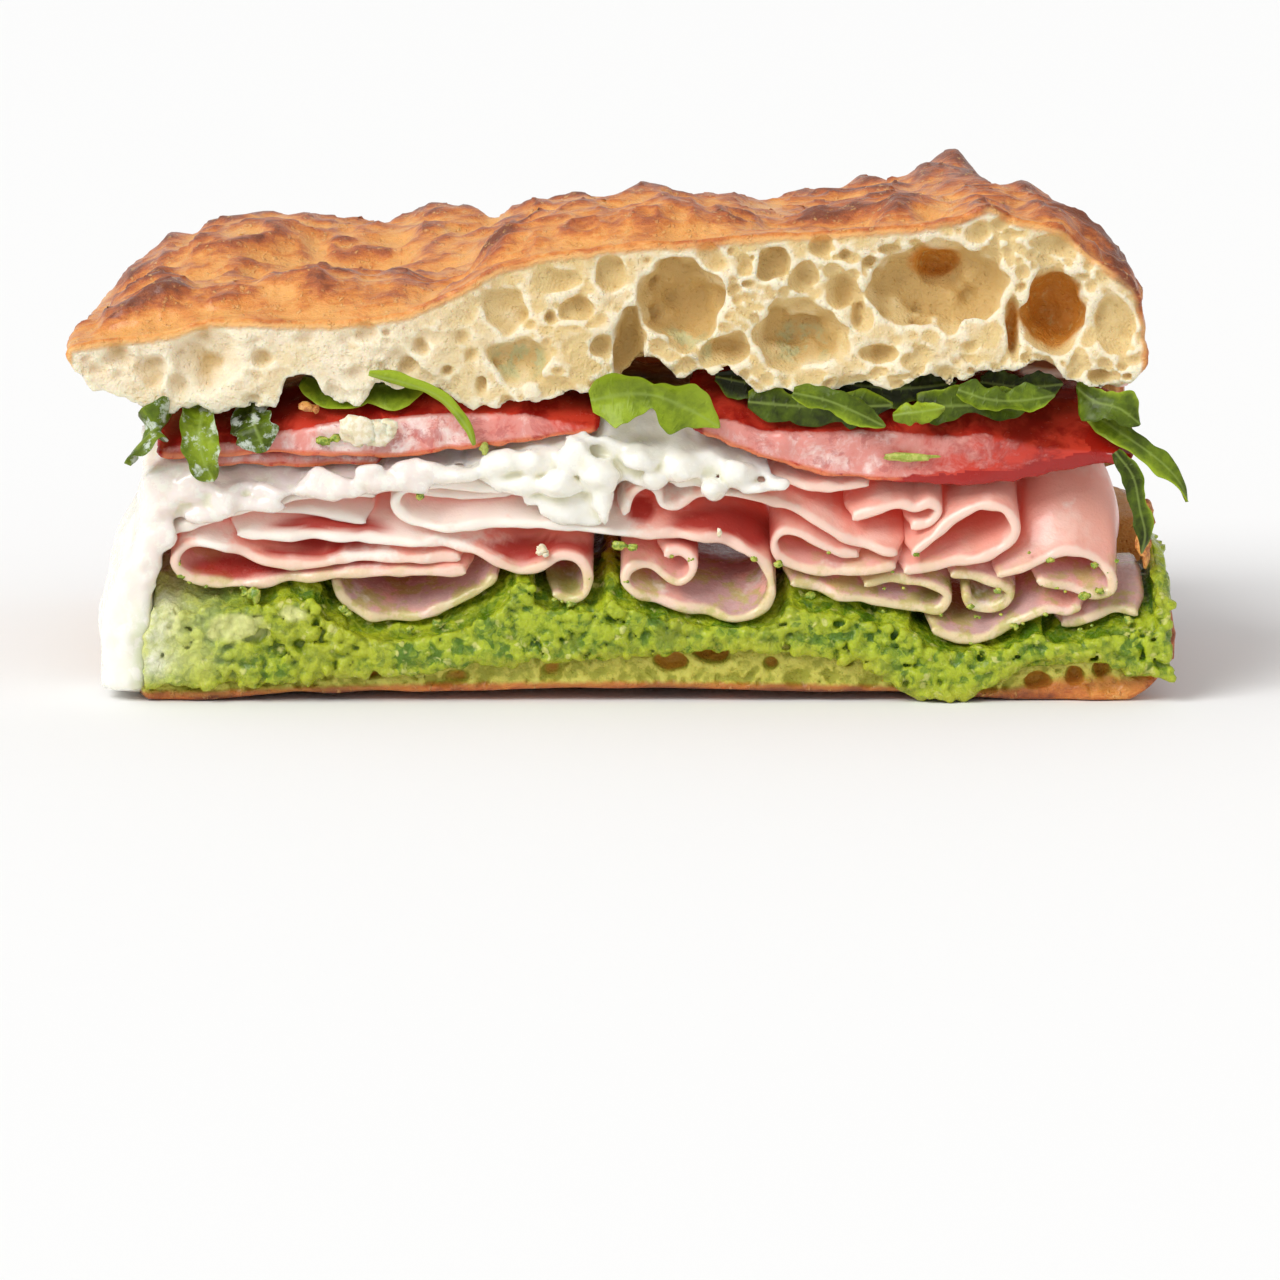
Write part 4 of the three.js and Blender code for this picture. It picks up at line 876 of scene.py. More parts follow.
mortadella = {
    "thickness": 1.15, "rounding": 0.5, "step": 0.45, "wander": 0.5,
    # The camera looks down, so what lies deeper shows higher up by this share.
    "viewSlope": 0.176,
    # For the layers below and above: how far to each side a slice counts, half a slice, and the gaps.
    "reach": 2.4, "half": 0.55, "gapBelow": 0.5, "gapAbove": 0.35,
    "stations": [0.8, 1.4, 2.2, 3.1, 4, 5, 6, 7.5, 9, 12.5, 17, 22.5, 29, 37, 46, 56],
    "pink": (0.90, 0.42, 0.33), "fat": (0.94, 0.66, 0.56), "red": (0.66, 0.10, 0.07),
    "lavender": (0.55, 0.36, 0.35), "pale": (0.90, 0.66, 0.55), "stained": (0.80, 0.68, 0.34),
    "oily": (0.50, 0.46, 0.11), "olive": (0.20, 0.19, 0.035), "openingShadeRed": (0.42, 0.022, 0.016),
    "cream": (0.95, 0.88, 0.80), "through": (0.13, 0.016, 0.010),
    # Painted shade: the openings between folds turn dark red, placed as the camera sees them: x, height on
    # the cut and half sizes.
    "openingShades": [
        (-35.8, 21.7, 7.6, 2.3), (-37.5, 18.3, 9.4, 1.3), (-46.5, 16.6, 7.4, 2.2),
        (-9.5, 19.3, 7.8, 1.5), (13.6, 21.8, 7.2, 3.1), (3.2, 24.4, 1.8, 1.8)],
    "olives": [(-7.2, 14.4, 3.0, 3.2), (42.5, 13.2, 4.6, 2.5)],
}


def mortadellaFinish():
    look = mortadella
    meat = Finish("mortadella", **{
        "Subsurface Weight": 0.32, "Subsurface Scale": 0.002, "Subsurface Radius": (1.0, 0.4, 0.28),
        "Coat Weight": 0.3, "Coat Roughness": 0.14, "Emission Strength": 1.0})
    lumps, between = meat.lumps, meat.between
    low, deep, glow = meat.value("low"), meat.value("deep"), meat.value("glow")
    grain = lumps(1.3, 4, 0.6)
    patch = between(lumps(7, 2, seed=0.2), 0.25, 0.5)
    oil = between(lumps(3, 4, 0.6, seed=0.11), 0.46, 0.6) * low
    milk = between(lumps(6, 4, 0.65, seed=0.6) + meat.value("milk") * 0.4, 0.6, 0.8)
    # Painted shade: the meat is a deeper red inside the folds, where it faces other meat.
    inside = meat.coats(
        look, look["pink"], ("fat", between(lumps(5, 3), 0.5, 0.7) * 0.5),
        ("red", glow * (1 - low) * 0.7), ("lavender", low * patch * 0.8))
    rind = meat.blend(look["pale"], look["stained"], low * patch * 0.85)
    edge = between(meat.value("edge") + (grain - 0.5) * 0.5, 0.3, 0.75)
    colour = meat.coats(
        look, meat.blend(inside, rind, edge * 0.8),
        ("oily", oil * 0.7), ("olive", meat.value("olive") * 0.85),
        # Painted shade: dark red in the openings between the folds.
        ("openingShadeRed", deep * between(grain, 0.0, 0.4) * 0.92), ("cream", milk * (1 - deep) * 0.8))
    rough = 0.34 - low * 0.08 + (grain - 0.5) * 0.25
    # Light that comes through the thin slices: a faint red of their own inside the folds.
    shine = meat.blend((0, 0, 0), look["through"], glow * (1 - low * 0.7) * (1 - deep * 0.6))
    height = grain + lumps(0.45, 3, 0.6) * 0.5
    return meat.finish(colour, rough, height, strength=0.4, distance=0.3, Emission_Color=shine)


def facing(points, ways, marks, farthest=9):
    # How closely each point looks onto another stretch of meat: 1 when touching, 0 beyond the farthest.
    total = np.zeros(len(points))
    for turn in (-0.6, 0, 0.6):
        way = np.stack([
            ways[:, 0] * math.cos(turn) - ways[:, 1] * math.sin(turn),
            ways[:, 0] * math.sin(turn) + ways[:, 1] * math.cos(turn)], 1)
        start = points + way * 0.9
        offset = marks[None] - start[:, None]
        ahead = (offset * way[:, None]).sum(2)
        aside = np.abs(offset[..., 0] * way[:, None, 1] - offset[..., 1] * way[:, None, 0])
        reached = np.where((aside < 0.45) & (ahead > 0), ahead, farthest).min(1)
        total += np.clip(1 - reached / farthest, 0, 1) / 3
    return total


def makeSlices():
    look = mortadella
    finish = mortadellaFinish()
    marks = np.vstack([resampled(curveThrough(fold["drawn"]), 160) for fold in slices])
    for k, fold in enumerate(slices):
        middle = curveThrough(fold["drawn"])
        count = max(12, int(lengthOf(middle) / look["step"]))
        middle = resampled(middle, count)
        opened = resampled(curveThrough(fold["inner"]), count) if "inner" in fold else middle
        start, end = fold["start"], fold["end"]
        turns = np.radians([14, 35, 60, 90])
        # The front is rounded in steps, and the swell is how thick the slice is at each depth.
        fronts = [(start + look["rounding"] * (1 - math.cos(t)), math.sin(t)) for t in turns]
        fronts += [(start + at, 1) for at in look["stations"] if start + at < end - 1]
        fronts += [(end - 0.3, 1), (end, 0.6)]
        index = np.arange(count)
        fromEnd = np.minimum(index, count - 1 - index) * lengthOf(middle) / (count - 1)
        taper = np.sqrt(1 - np.clip(1 - fromEnd / 0.5, 0, 0.92) ** 2)
        ragged = 1 + 0.34 * noise(index * 0.5, 0, k * 5.0, 1.8, 84)
        ends = np.exp(-((fromEnd / 1.6) ** 2)) * np.where(index < count / 2, -1, 1)
        _, across = alongAndAcross(middle)
        foldShadeGlows = np.concatenate([facing(middle, across, marks), facing(middle, -across, marks)[::-1]])
        rings, edges, lows, glow = [], [], [], []
        for depth, swell in fronts:
            share = float(smooth((depth - start) / fold["opens"])) if "inner" in fold else 0
            path = mix(middle, opened, share)
            along, across = alongAndAcross(path)
            # The cut edge wanders in and out, and the slice itself is a little uneven.
            path = path + along * (ends * float(smooth((depth - start - 0.3) / 2.5)))[:, None]
            early = float(smooth((6 - depth + start) / 6))
            wander = look["wander"] * noise(index * 0.5, 0, k * 7.0, 3.5, 81) * early
            wave = 0.2 * noise(path[:, 0], depth, path[:, 1], 4.5, 82) * float(smooth((depth - start) / 2))
            half = look["thickness"] / 2 * swell * taper * mix(1.0, ragged, early)
            for side in (1, -1):
                offset = path + across * (side * half + wave)[:, None]
                ring = np.stack([offset[:, 0], np.full(count, depth) + wander, offset[:, 1]], 1)
                rings.append(ring if side > 0 else ring[::-1])
            edges.append(np.full(2 * count, math.exp(-max(0, depth - start) / 0.6)))
            heights = np.concatenate([path[:, 1], path[::-1, 1]])
            lows.append(smooth((18.5 - heights) / 6))
            glow.append(foldShadeGlows * float(smooth((depth - start - 0.3) / 3.5)))
        points = np.vstack(rings)
        faces = ringFaces(len(fronts), 2 * count)
        x, depth, z = points.T
        seen = placed(points)[:, 2] / mm + look["viewSlope"] * depth
        behind = smooth((depth - start - 0.3) / 0.9)
        milk = smooth((14 - x) / 30) * smooth((z - 16) / 6)
        milk = milk + 0.35 * smooth((36 - x) / 20) * smooth((z - 19) / 4)
        values = {
            "edge": np.concatenate(edges), "low": np.concatenate(lows), "glow": np.concatenate(glow),
            "milk": np.minimum(milk, 1), "deep": patches(x, seen, look["openingShades"]) * behind,
            "olive": patches(x, seen, look["olives"]) * behind,
        }
        node = f"mortadella_{k + 1:02d}"
        meshObject(f"slice_{k + 1:02d}", points, faces, finish, node, values)


makeSlices()

# How low and how high the slices reach along the cut, for the paste below and the cheese above.
drawnLines = [drawn for fold in slices[:-1] for drawn in (fold["drawn"], fold.get("inner", fold["drawn"]))]
sliceMarks = np.vstack([curveThrough(drawn) for drawn in drawnLines])
spanX = np.arange(-66, 72, 0.4)
nearMarks = np.abs(sliceMarks[None, :, 0] - spanX[:, None]) < mortadella["reach"]
lowest = np.where(nearMarks, sliceMarks[None, :, 1], 40).min(1) - mortadella["half"] - mortadella["gapBelow"]
highest = np.where(nearMarks, sliceMarks[None, :, 1], 0).max(1) + mortadella["half"] + mortadella["gapAbove"]


def belowSlices(x):
    return np.interp(x, spanX, lowest)


def aboveSlices(x):
    return np.interp(x, spanX, highest)


spread = {
    "left": -58.8, "right": 69.4, "shut": 57.2, "back": 68, "gap": 0.35,
    "nuggets": 3400, "sunkShare": 0.035, "lumps": 500,
    "top": line([
        (-58.6, 12.2), (-54, 11.6), (-46, 12.2), (-38, 13.2), (-33.8, 14.2), (-14, 15.2), (-2, 14.4),
        (3, 12), (20, 12.4), (33, 9.6), (41, 8.9), (60, 9), (65.8, 9), (66.6, 15.4), (69.4, 12.6)], 0.6),
    # How far down the paste lies over the cut bread.
    "low": line([
        (-59, 2.0), (-48, 1.9), (-40, 2.3), (-36, 3.0), (-28, 3.4), (-20, 4.4), (-8, 5.2), (4, 5.4),
        (10, 6.8), (18, 6.6), (25, 5.8), (31, 4.6), (35.5, 1.6), (38, 0.6), (44, 0.5), (48, 2.4),
        (51, 4.8), (56, 6.2), (62, 4.6), (66, 3.2), (70, 2.8)], 0.8),
    # Where the paste is pale with cheese: x, z and half sizes.
    "pales": [(-47.6, 9.6, 4.0, 1.9), (-55.6, 10.4, 1.8, 2.4), (-40, 11.4, 2.0, 0.9)],
    "green": (0.095, 0.200, 0.003), "light": (0.43, 0.52, 0.018), "dark": (0.030, 0.092, 0.002),
    "nut": (0.72, 0.72, 0.22), "yellow": (0.46, 0.47, 0.022), "milky": (0.74, 0.75, 0.28),
    "cream": (0.90, 0.90, 0.72),
}


def pestoFinish():
    look = spread
    paste = Finish("pesto", **{
        "Subsurface Weight": 0.1, "Subsurface Scale": 0.0012, "Subsurface Radius": (0.6, 1.0, 0.2),
        "Coat Weight": 0.22, "Coat Roughness": 0.07, "Specular IOR Level": 0.35})
    lumps, pores, between, value = paste.lumps, paste.pores, paste.between, paste.value
    where = paste.warped(1.6, 0.7)
    grain = lumps(0.8, 5, 0.75, where=where)
    patch = lumps(6, 4, 0.6)
    rise = value("rise")
    tint = pores(0.9, where, "Color") + pores(2.1, where, "Color")
    # Lighter on the grain, patches and cells, and on the ridges as a painted highlight.
    wetAndLitRidges = grain * 0.6 + patch * 0.8 + rise * 1.1 + (tint - 1.0) * 0.45 - 0.03
    nut = between(pores(1.5, where), 0.4, 0.26)
    nut = nut * between(lumps(2.6, 3, 0.6, seed=0.33, where=where), 0.52, 0.6)
    basil = between(lumps(2.2, 5, 0.75, seed=0.7, where=where), 0.52, 0.68)
    soft = value("low") * between(grain + patch, 0.85, 1.15)
    colour = paste.coats(
        look, look["green"],
        ("light", between(wetAndLitRidges, 0.42, 0.94)),
        ("yellow", between(lumps(9, 3, seed=0.4), 0.48, 0.66) * 0.45),
        ("nut", nut * 0.75),
        ("dark", basil * 0.55),
        # Painted shade in the pits.
        ("dark", between(rise + (grain - 0.5) * 0.3, -0.04, -0.3) * 0.75),
        ("yellow", soft * 0.85),
        ("milky", value("pale") * 0.85),
        ("cream", value("milk") * between(patch + grain * 0.3, 0.5, 0.75)))
    rough = 0.26 + (grain - 0.5) * 0.5
    height = grain * 1.2 + nut * 0.3 + pores(0.8, where) * 0.7
    return paste.finish(colour, rough, height, strength=0.75, distance=0.4)


def makePesto():
    look = spread
    body = Mass((-60.8, 71.4), (-3.6, 69.5), (-0.2, 17.5), 0.36, fineUntil=5)
    x, depth, z = body.x, body.depth, body.z
    right = mix(look["right"], look["shut"], smooth((depth - 20) / 10))
    bed = loafBed(x, depth)
    lump = 0.5 * np.sin(1.1 * x + 0.3 * depth) * np.sin(0.5 * depth + 0.2 * x)
    top = np.maximum(np.minimum(look["top"](x) + lump, belowSlices(x)), bed + look["gap"] + 0.6)
    front = -1.1 - depth + 0.55 * noise(x, 0 * depth, z, 3.2, 91) + 0.5 * noise(x, 0 * depth, z, 7, 92)
    ends = softMax(look["left"] - x, x - right, 0.5)
    fromBack = softMax(ends, depth - look["back"], 1)
    main = softMax(softMax(z - top, bed - 0.25 - z, 0.5), softMax(front, fromBack, 0.8), 0.8)
    skinLow = look["low"](x) + 0.7 * noise(x, 0 * depth, 0 * z, 1.6, 93)
    skin = softMax(softMax(z - bed - 0.6, skinLow - z, 0.8), softMax(front, depth - 0.5, 0.5), 1.0)
    skin = softMax(skin, ends, 0.5)
    body.shape(softMin(main, skin, 1.0))

    def pasteTop(x):
        return float(np.minimum(look["top"](x), belowSlices(x)))

    draw = np.random.default_rng(27)
    made = 0
    while made < look["nuggets"]:
        nx = draw.uniform(look["left"], look["right"])
        low, high = float(look["low"](nx)) + 0.3, pasteTop(nx) - 0.1
        if high <= low:
            continue
        made += 1
        radius = 0.26 + 0.6 * draw.random() ** 3
        radii = (radius * draw.uniform(0.8, 1.4), radius, radius * draw.uniform(0.7, 1.1))
        spot = (nx, -1.1 + draw.uniform(-0.3, 0.35), draw.uniform(low, high))
        sunk = draw.random() < look["sunkShare"]
        body.stamp(spot, radii, cut=sunk, blend=0.2, tilt=draw.uniform(-0.7, 0.7))
    for _ in range(look["lumps"]):
        # Lumps on the top and at the ends, behind the cut.
        nx, nd = draw.uniform(look["left"], look["right"]), draw.uniform(0, 40)
        radius = 0.5 + 0.6 * draw.random()
        body.stamp((nx, nd, pasteTop(nx) - 0.2), (radius, radius, radius * 0.7), cut=False, blend=0.4)
    body.roughen(0.16, 1.2, 94)
    body.roughen(0.12, 0.6, 95)
    points, faces = body.surface(coarseFrom=3)
    x, depth, z = points.T
    pale = np.zeros(len(points))
    for px, pz, radiusX, radiusZ in look["pales"]:
        away = ((x - px) / radiusX) ** 2 + ((z - pz) / radiusZ) ** 2
        pale = np.maximum(pale, smooth(1.4 - away + 0.5 * noise(x, depth, z, 1.2, 96)))
    pale = np.maximum(pale, 0.8 * smooth((-44 - x) / 14) * smooth((z - 1) / 5))
    values = {
        "pale": pale, "rise": standingOut(points, faces, 5),
        "low": smooth((look["low"](x) + 2.6 - z) / 2.8),
        "milk": smooth((-53.5 - x) / 5) * smooth((z - 2) / 3),
    }
    meshObject("pesto_spread", points, faces, pestoFinish(), "pesto", values)


makePesto()

curd = {
    "left": -57.6, "right": 19.6, "back": 45,
    "top": line([
        (-57.6, 29.2), (-56, 29.6), (-52, 29.5), (-51, 27.5), (-20, 27.7), (-17, 30.4), (-9.4, 31.8),
        (-4, 32.4), (-1, 33.2), (4, 32.6), (9.5, 32.0), (12, 31.2), (17.6, 29.4), (20.4, 28.6)], 0.8),
    # The run of cheese down the left side, from x to x at each of these heights.
    "runHeights": [0.8, 8, 13, 17, 20, 24.6, 28.6],
    "runInside": [-59.0, -58.6, -58.0, -57.0, -56.0, -55.4, -55.6],
    "runOutside": [-62.4, -62.3, -61.0, -59.4, -57.4, -56.2, -56.4],
    # Curds and drips at the front: x, depth, z and their half sizes.
    "lumps": [
        (-5.0, -1.2, 31.0, 2.4, 1.8, 1.7), (-1.9, -1.6, 28.8, 2.6, 2.0, 2.0),
        (-6.9, -1.3, 27.6, 2.6, 1.7, 1.6), (8.1, -1.2, 29.4, 2.0, 1.7, 1.7),
        (12.1, -1.5, 27.0, 1.8, 1.6, 1.4), (15.2, -0.9, 29.0, 1.7, 1.4, 1.8),
        (20.4, -0.6, 27.4, 1.5, 1.2, 1.0), (-1.2, -1.2, 24.2, 0.8, 0.9, 1.8),
        (-1.4, -1.4, 26.2, 1.4, 1.2, 1.6), (-14.4, -0.9, 30.0, 2.4, 1.3, 1.4),
        (-10.6, -1.1, 30.2, 2.0, 1.4, 1.2), (3.1, -1.2, 30.6, 2.4, 1.6, 1.5),
        (5.0, -1.0, 28.0, 1.6, 1.3, 1.3), (-19.6, -0.7, 28.6, 2.6, 1.0, 1.2),
        (-24.4, -0.7, 29.4, 3.0, 0.9, 1.0), (-29.4, -0.9, 27.8, 3.2, 1.1, 1.3),
        (-34.0, -0.9, 26.6, 2.6, 1.1, 1.1), (-38.4, -0.7, 26.8, 2.0, 1.0, 0.9),
        (-12.0, -0.8, 27.4, 3.0, 1.0, 1.1), (-43, -0.6, 26.2, 2.8, 0.9, 0.9),
        (-48.5, -0.7, 25.4, 2.6, 1.0, 1.2), (-52.5, -0.6, 27.0, 2.6, 1.2, 1.8),
        (-55.4, 0.0, 26.0, 1.8, 1.6, 2.6), (-48.2, -1.0, 24.3, 1.0, 1.0, 0.9),
        (-57.8, 1.0, 23.0, 1.6, 1.8, 3.0), (-59.6, 0.2, 12.5, 1.8, 1.4, 3.4),
        (-60.4, 0.0, 6.5, 1.8, 1.3, 3.6), (-58.6, -0.2, 17.5, 1.6, 1.3, 3.2),
        (-56.4, -0.5, 21.4, 2.0, 1.0, 2.0), (-51.0, -0.7, 23.6, 2.8, 0.8, 1.1),
        (-44.4, -0.6, 24.8, 3.4, 0.7, 1.0), (-36.4, -0.6, 27.8, 3.0, 0.9, 1.4),
        (-25.6, -0.7, 27.8, 2.6, 0.8, 1.2), (-30.6, -1.2, 29.6, 1.6, 0.9, 0.8),
        (17.8, -0.7, 27.0, 1.8, 1.1, 0.8), (-3.6, -0.5, 33.1, 2.8, 0.9, 0.8)],
    "cream": (0.92, 0.89, 0.80), "shade": (0.74, 0.72, 0.50), "rose": (0.90, 0.76, 0.71),
    "green": (0.62, 0.68, 0.38),
}


def curdFinish():
    look = curd
    cheese = Finish("stracciatella", **{
        "Subsurface Weight": 0.4, "Subsurface Scale": 0.003, "Subsurface Radius": (1.0, 0.85, 0.6),
        "Coat Weight": 0.45, "Coat Roughness": 0.08})
    lumps, between, value = cheese.lumps, cheese.between, cheese.value
    grain = lumps(1.6, 4, 0.6)
    hollow = between(value("rise") + (grain - 0.5) * 0.3, 0.04, -0.3)
    tint = between(lumps(5, 4, 0.65, seed=0.9), 0.66, 0.76) + value("sap") * between(grain, 0.35, 0.6)
    colour = cheese.coats(
        look, look["cream"], ("rose", value("thin") * between(grain, 0.3, 0.6) * 0.8),
        ("shade", hollow * 0.75), ("green", tint * 0.65))
    return cheese.finish(colour, 0.26 - (grain - 0.5) * 0.3, grain, strength=0.3, distance=0.4)


def makeCheese():
    look = curd
    body = Mass((-66.5, 23), (-4.5, 46.5), (0.2, 36), 0.4, fineUntil=6)
    x, depth, z = body.x, body.depth, body.z
    low = aboveSlices(x) - 0.45
    dip = 0.5 + 0.5 * np.sin(0.9 * x + 0.4 * depth) * np.cos(0.35 * depth - 0.5 * x)
    top = np.maximum(look["top"](x) - 0.5 * dip, low + 1.0)
    front = -0.6 - depth + 0.7 * noise(x, 0 * depth, z, 3.0, 101)
    ends = softMax(look["left"] - x, x - look["right"], 0.6)
    around = softMax(front, softMax(ends, depth - look["back"], 1), 0.8)
    layer = softMax(softMax(z - top, low - z, 0.8), around, 1.0)
    # The run hangs down as a sheet that reaches further back the higher it is.
    tall = 0.55 + z / 62
    inside = np.interp(z, look["runHeights"], look["runInside"])
    share = np.clip((depth + 1) / (23 * tall), 0, 1)
    outer = np.interp(z, look["runHeights"], look["runOutside"])
    outside = outer - 0.9 - 1.6 * np.sin(np.pi * np.clip(0.12 + 0.8 * share, 0, 1)) - 0.03 * z
    sheet = softMax(x - inside, outside - x, 0.8)
    far = 22.5 * tall + 1.5 * noise(0 * x, 0 * depth, z, 4, 103)
    sheet = softMax(softMax(sheet, -0.8 - depth, 1.2), depth - far, 1.5)
    sheet = softMax(sheet, softMax(z - 28.4, 1.2 - z, 1), 1)
    body.shape(softMin(layer, sheet, 1.4))
    for cx, cd, cz, wide, deep, high in look["lumps"]:
        seed = int(cx * 10) % 97
        body.stamp((cx, cd, cz), (wide, deep, high), cut=False, blend=1.0, warp=0.45, seed=seed)
    body.roughen(0.42, 3.2, 104)
    body.roughen(0.2, 1.3, 105)
    points, faces = body.surface(coarseFrom=8)
    x, depth, z = points.T
    onRun = smooth((-55 - x) / 2)
    thin = smooth((-16 - x) / 10) * smooth((x + 59) / 5)
    thin = thin + 0.7 * onRun * smooth((z - 11) / 5) * smooth((4 - depth) / 4)
    sap = onRun * smooth((x + 61.5) / 2.5) * smooth((14 - z) / 6)
    values = {"rise": standingOut(points, faces), "thin": np.minimum(thin, 1), "sap": sap}
    meshObject("soft_cheese", points, faces, curdFinish(), "stracciatella", values)


makeCheese()

tomatoes = {
    "tomato_left": {
        "middle": -29.4, "radius": 27.2, "centre": 3, "start": 0, "rise": 0.8, "skin": 0.7,
        "shaded": 1.0,
        "top": line([
            (-56.5, 31.4), (-53.8, 32.2), (-47, 32.2), (-40.6, 33.4), (-33.8, 34.8), (-22, 35.6),
            (-14, 35.9), (-8, 35.2), (-3, 34.1)], 1),
        "under": line([(-56.5, 30.4), (-42.5, 30.8), (-27, 30.4), (-17, 31.7), (-3, 33.4)], 1)},
    "tomato_left_lower": {
        "middle": -39.8, "radius": 11, "centre": 5, "start": 1.4, "rise": 0, "skin": 0.4,
        "shaded": 0.5,
        "top": line([(-50, 29.6), (-20, 29.7)]), "under": line([(-50, 28.1), (-20, 28.3)])},
    "tomato_right": {
        "middle": 36.9, "radius": 26.6, "centre": 4, "start": 0, "rise": 1.8, "skin": 1.2,
        "shaded": 0.5,
        "top": line([
            (10.6, 34.8), (14, 35.2), (18, 33.6), (36, 33.3), (46, 33.2), (53, 31.6), (63.2, 31.2)], 1),
        "under": line([
            (10.6, 33.6), (19.4, 29.9), (26.9, 27.9), (36, 27.3), (43, 27.1), (49, 27.1), (56, 28.8),
            (63.2, 30)], 1)},
}
tomatoLook = {
    "flesh": (0.60, 0.045, 0.022), "deep": (0.33, 0.010, 0.006), "pale": (0.80, 0.34, 0.29),
    "milk": (0.95, 0.83, 0.78), "wine": (0.48, 0.09, 0.08), "edge": (0.80, 0.25, 0.10),
    "shade": (0.17, 0.008, 0.005), "skin": (0.36, 0.010, 0.005),
    # How far cream films the cut face, and how high the skin shows below it, over x.
    "film": (
        [-56, -46, -34, -14, -4, 12, 20, 30, 42, 62],
        [0.35, 0.65, 0.85, 0.65, 0.4, 0.5, 0.6, 0.7, 0.45, 0.1]),
    "crescent": ([32, 37, 44, 56, 63], [0, 1.2, 2.0, 2.4, 2.6]),
}


def tomatoFinish():
    look = tomatoLook
    fruit = Finish("tomato", **{
        "Subsurface Weight": 0.3, "Subsurface Scale": 0.002, "Subsurface Radius": (1.0, 0.3, 0.15),
        "Coat Weight": 0.3, "Coat Roughness": 0.06, "Specular IOR Level": 0.35})
    lumps, between, value = fruit.lumps, fruit.between, fruit.value
    where = fruit.warped(4, 1.6)
    grain = lumps(1.4, 5, 0.7, where=where)
    broad = lumps(5, 4, 0.65, where=where)
    film = value("film") + (broad - 0.5) * 1.1 + (grain - 0.5) * 0.5
    stain = between(lumps(3, 5, 0.75, seed=0.8, where=where), 0.52, 0.62) * value("film")
    colour = fruit.coats(
        look, look["flesh"],
        ("deep", between(broad, 0.42, 0.6)),
        ("pale", between(film, 0.25, 0.6) * 0.85),
        ("milk", between(film, 0.6, 0.95) * 0.85),
        ("wine", stain * 0.75),
        ("edge", value("line") * between(grain, 0.3, 0.5) * 0.85),
        ("shade", value("shaded") * 0.85),
        ("skin", between(value("rim"), 0.9, 0.4)))
    return fruit.finish(colour, 0.24 + (grain - 0.5) * 0.3, grain, strength=0.3, distance=0.35)


def makeTomatoes():
    look = tomatoLook
    finish = tomatoFinish()
    for k, (node, cut) in enumerate(tomatoes.items()):
        middle, radius, centre, start = cut["middle"], cut["radius"], cut["centre"], cut["start"]
        span = np.linspace(middle - radius, middle + radius, 60)
        low = float(cut["under"](span).min()) - 1.2
        high = float(cut["top"](span).max()) + cut["rise"] + 1.2
        wide = (middle - radius - cut["skin"] - 1, middle + radius + cut["skin"] + 1)
        deep = (start - 1.5, centre + radius + 1.5)
        body = Mass(wide, deep, (low, high), 0.32, fineUntil=5, coarse=0.8)
        x, depth, z = body.x, body.depth, body.z
        lifted = cut["rise"] * smooth((depth - start) / 16)
        top, under = cut["top"](x) + lifted, cut["under"](x) + 0.9 * lifted
        fromMiddle = (z - (top + under) / 2) / np.maximum((top - under) / 2, 0.4)
        swell = cut["skin"] * np.sqrt(np.clip(1 - fromMiddle**2, 0, 1))
        disc = np.hypot(x - middle, depth - centre) - radius - swell
        front = start - depth + 0.25 * noise(x, 0 * depth, z, 3, 111 + k)
        ripple = 0.25 * noise(x, depth, 0 * z, 6, 115 + k)
        field = softMax(softMax(z - top + ripple, under - ripple - z, 0.6), disc, 0.9)
        body.shape(softMax(field, front, 0.55))
        body.roughen(0.16, 1.6, 118 + k)
        points, faces = body.surface(coarseFrom=7)
        x, depth, z = points.T
        rim = radius + 0.4 - np.hypot(x - middle, depth - centre)
        # The cut face is filmed with cream and lined by skin below, the top stays red and glossy.
        face = smooth((start + 1.1 - depth) / 0.9)
        above = z - cut["under"](x)
        crescent = np.interp(x, *look["crescent"])
        below = smooth((crescent - above + 0.25 * noise(x, depth, z, 1.5, 119)) / 0.4)
        film = face * np.interp(x, *look["film"]) * smooth((above - 0.2) / 0.8) * (1 - below)
        values = {
            "rim": np.where(below > 0.5, 0.3, rim), "film": film,
            "shaded": smooth((depth - 1.5) / 3) * cut["shaded"],
            "line": face * smooth((1.0 - above) / 0.6) * (1 - below),
        }
        meshObject(node + "_slice", points, faces, finish, node, values)


makeTomatoes()

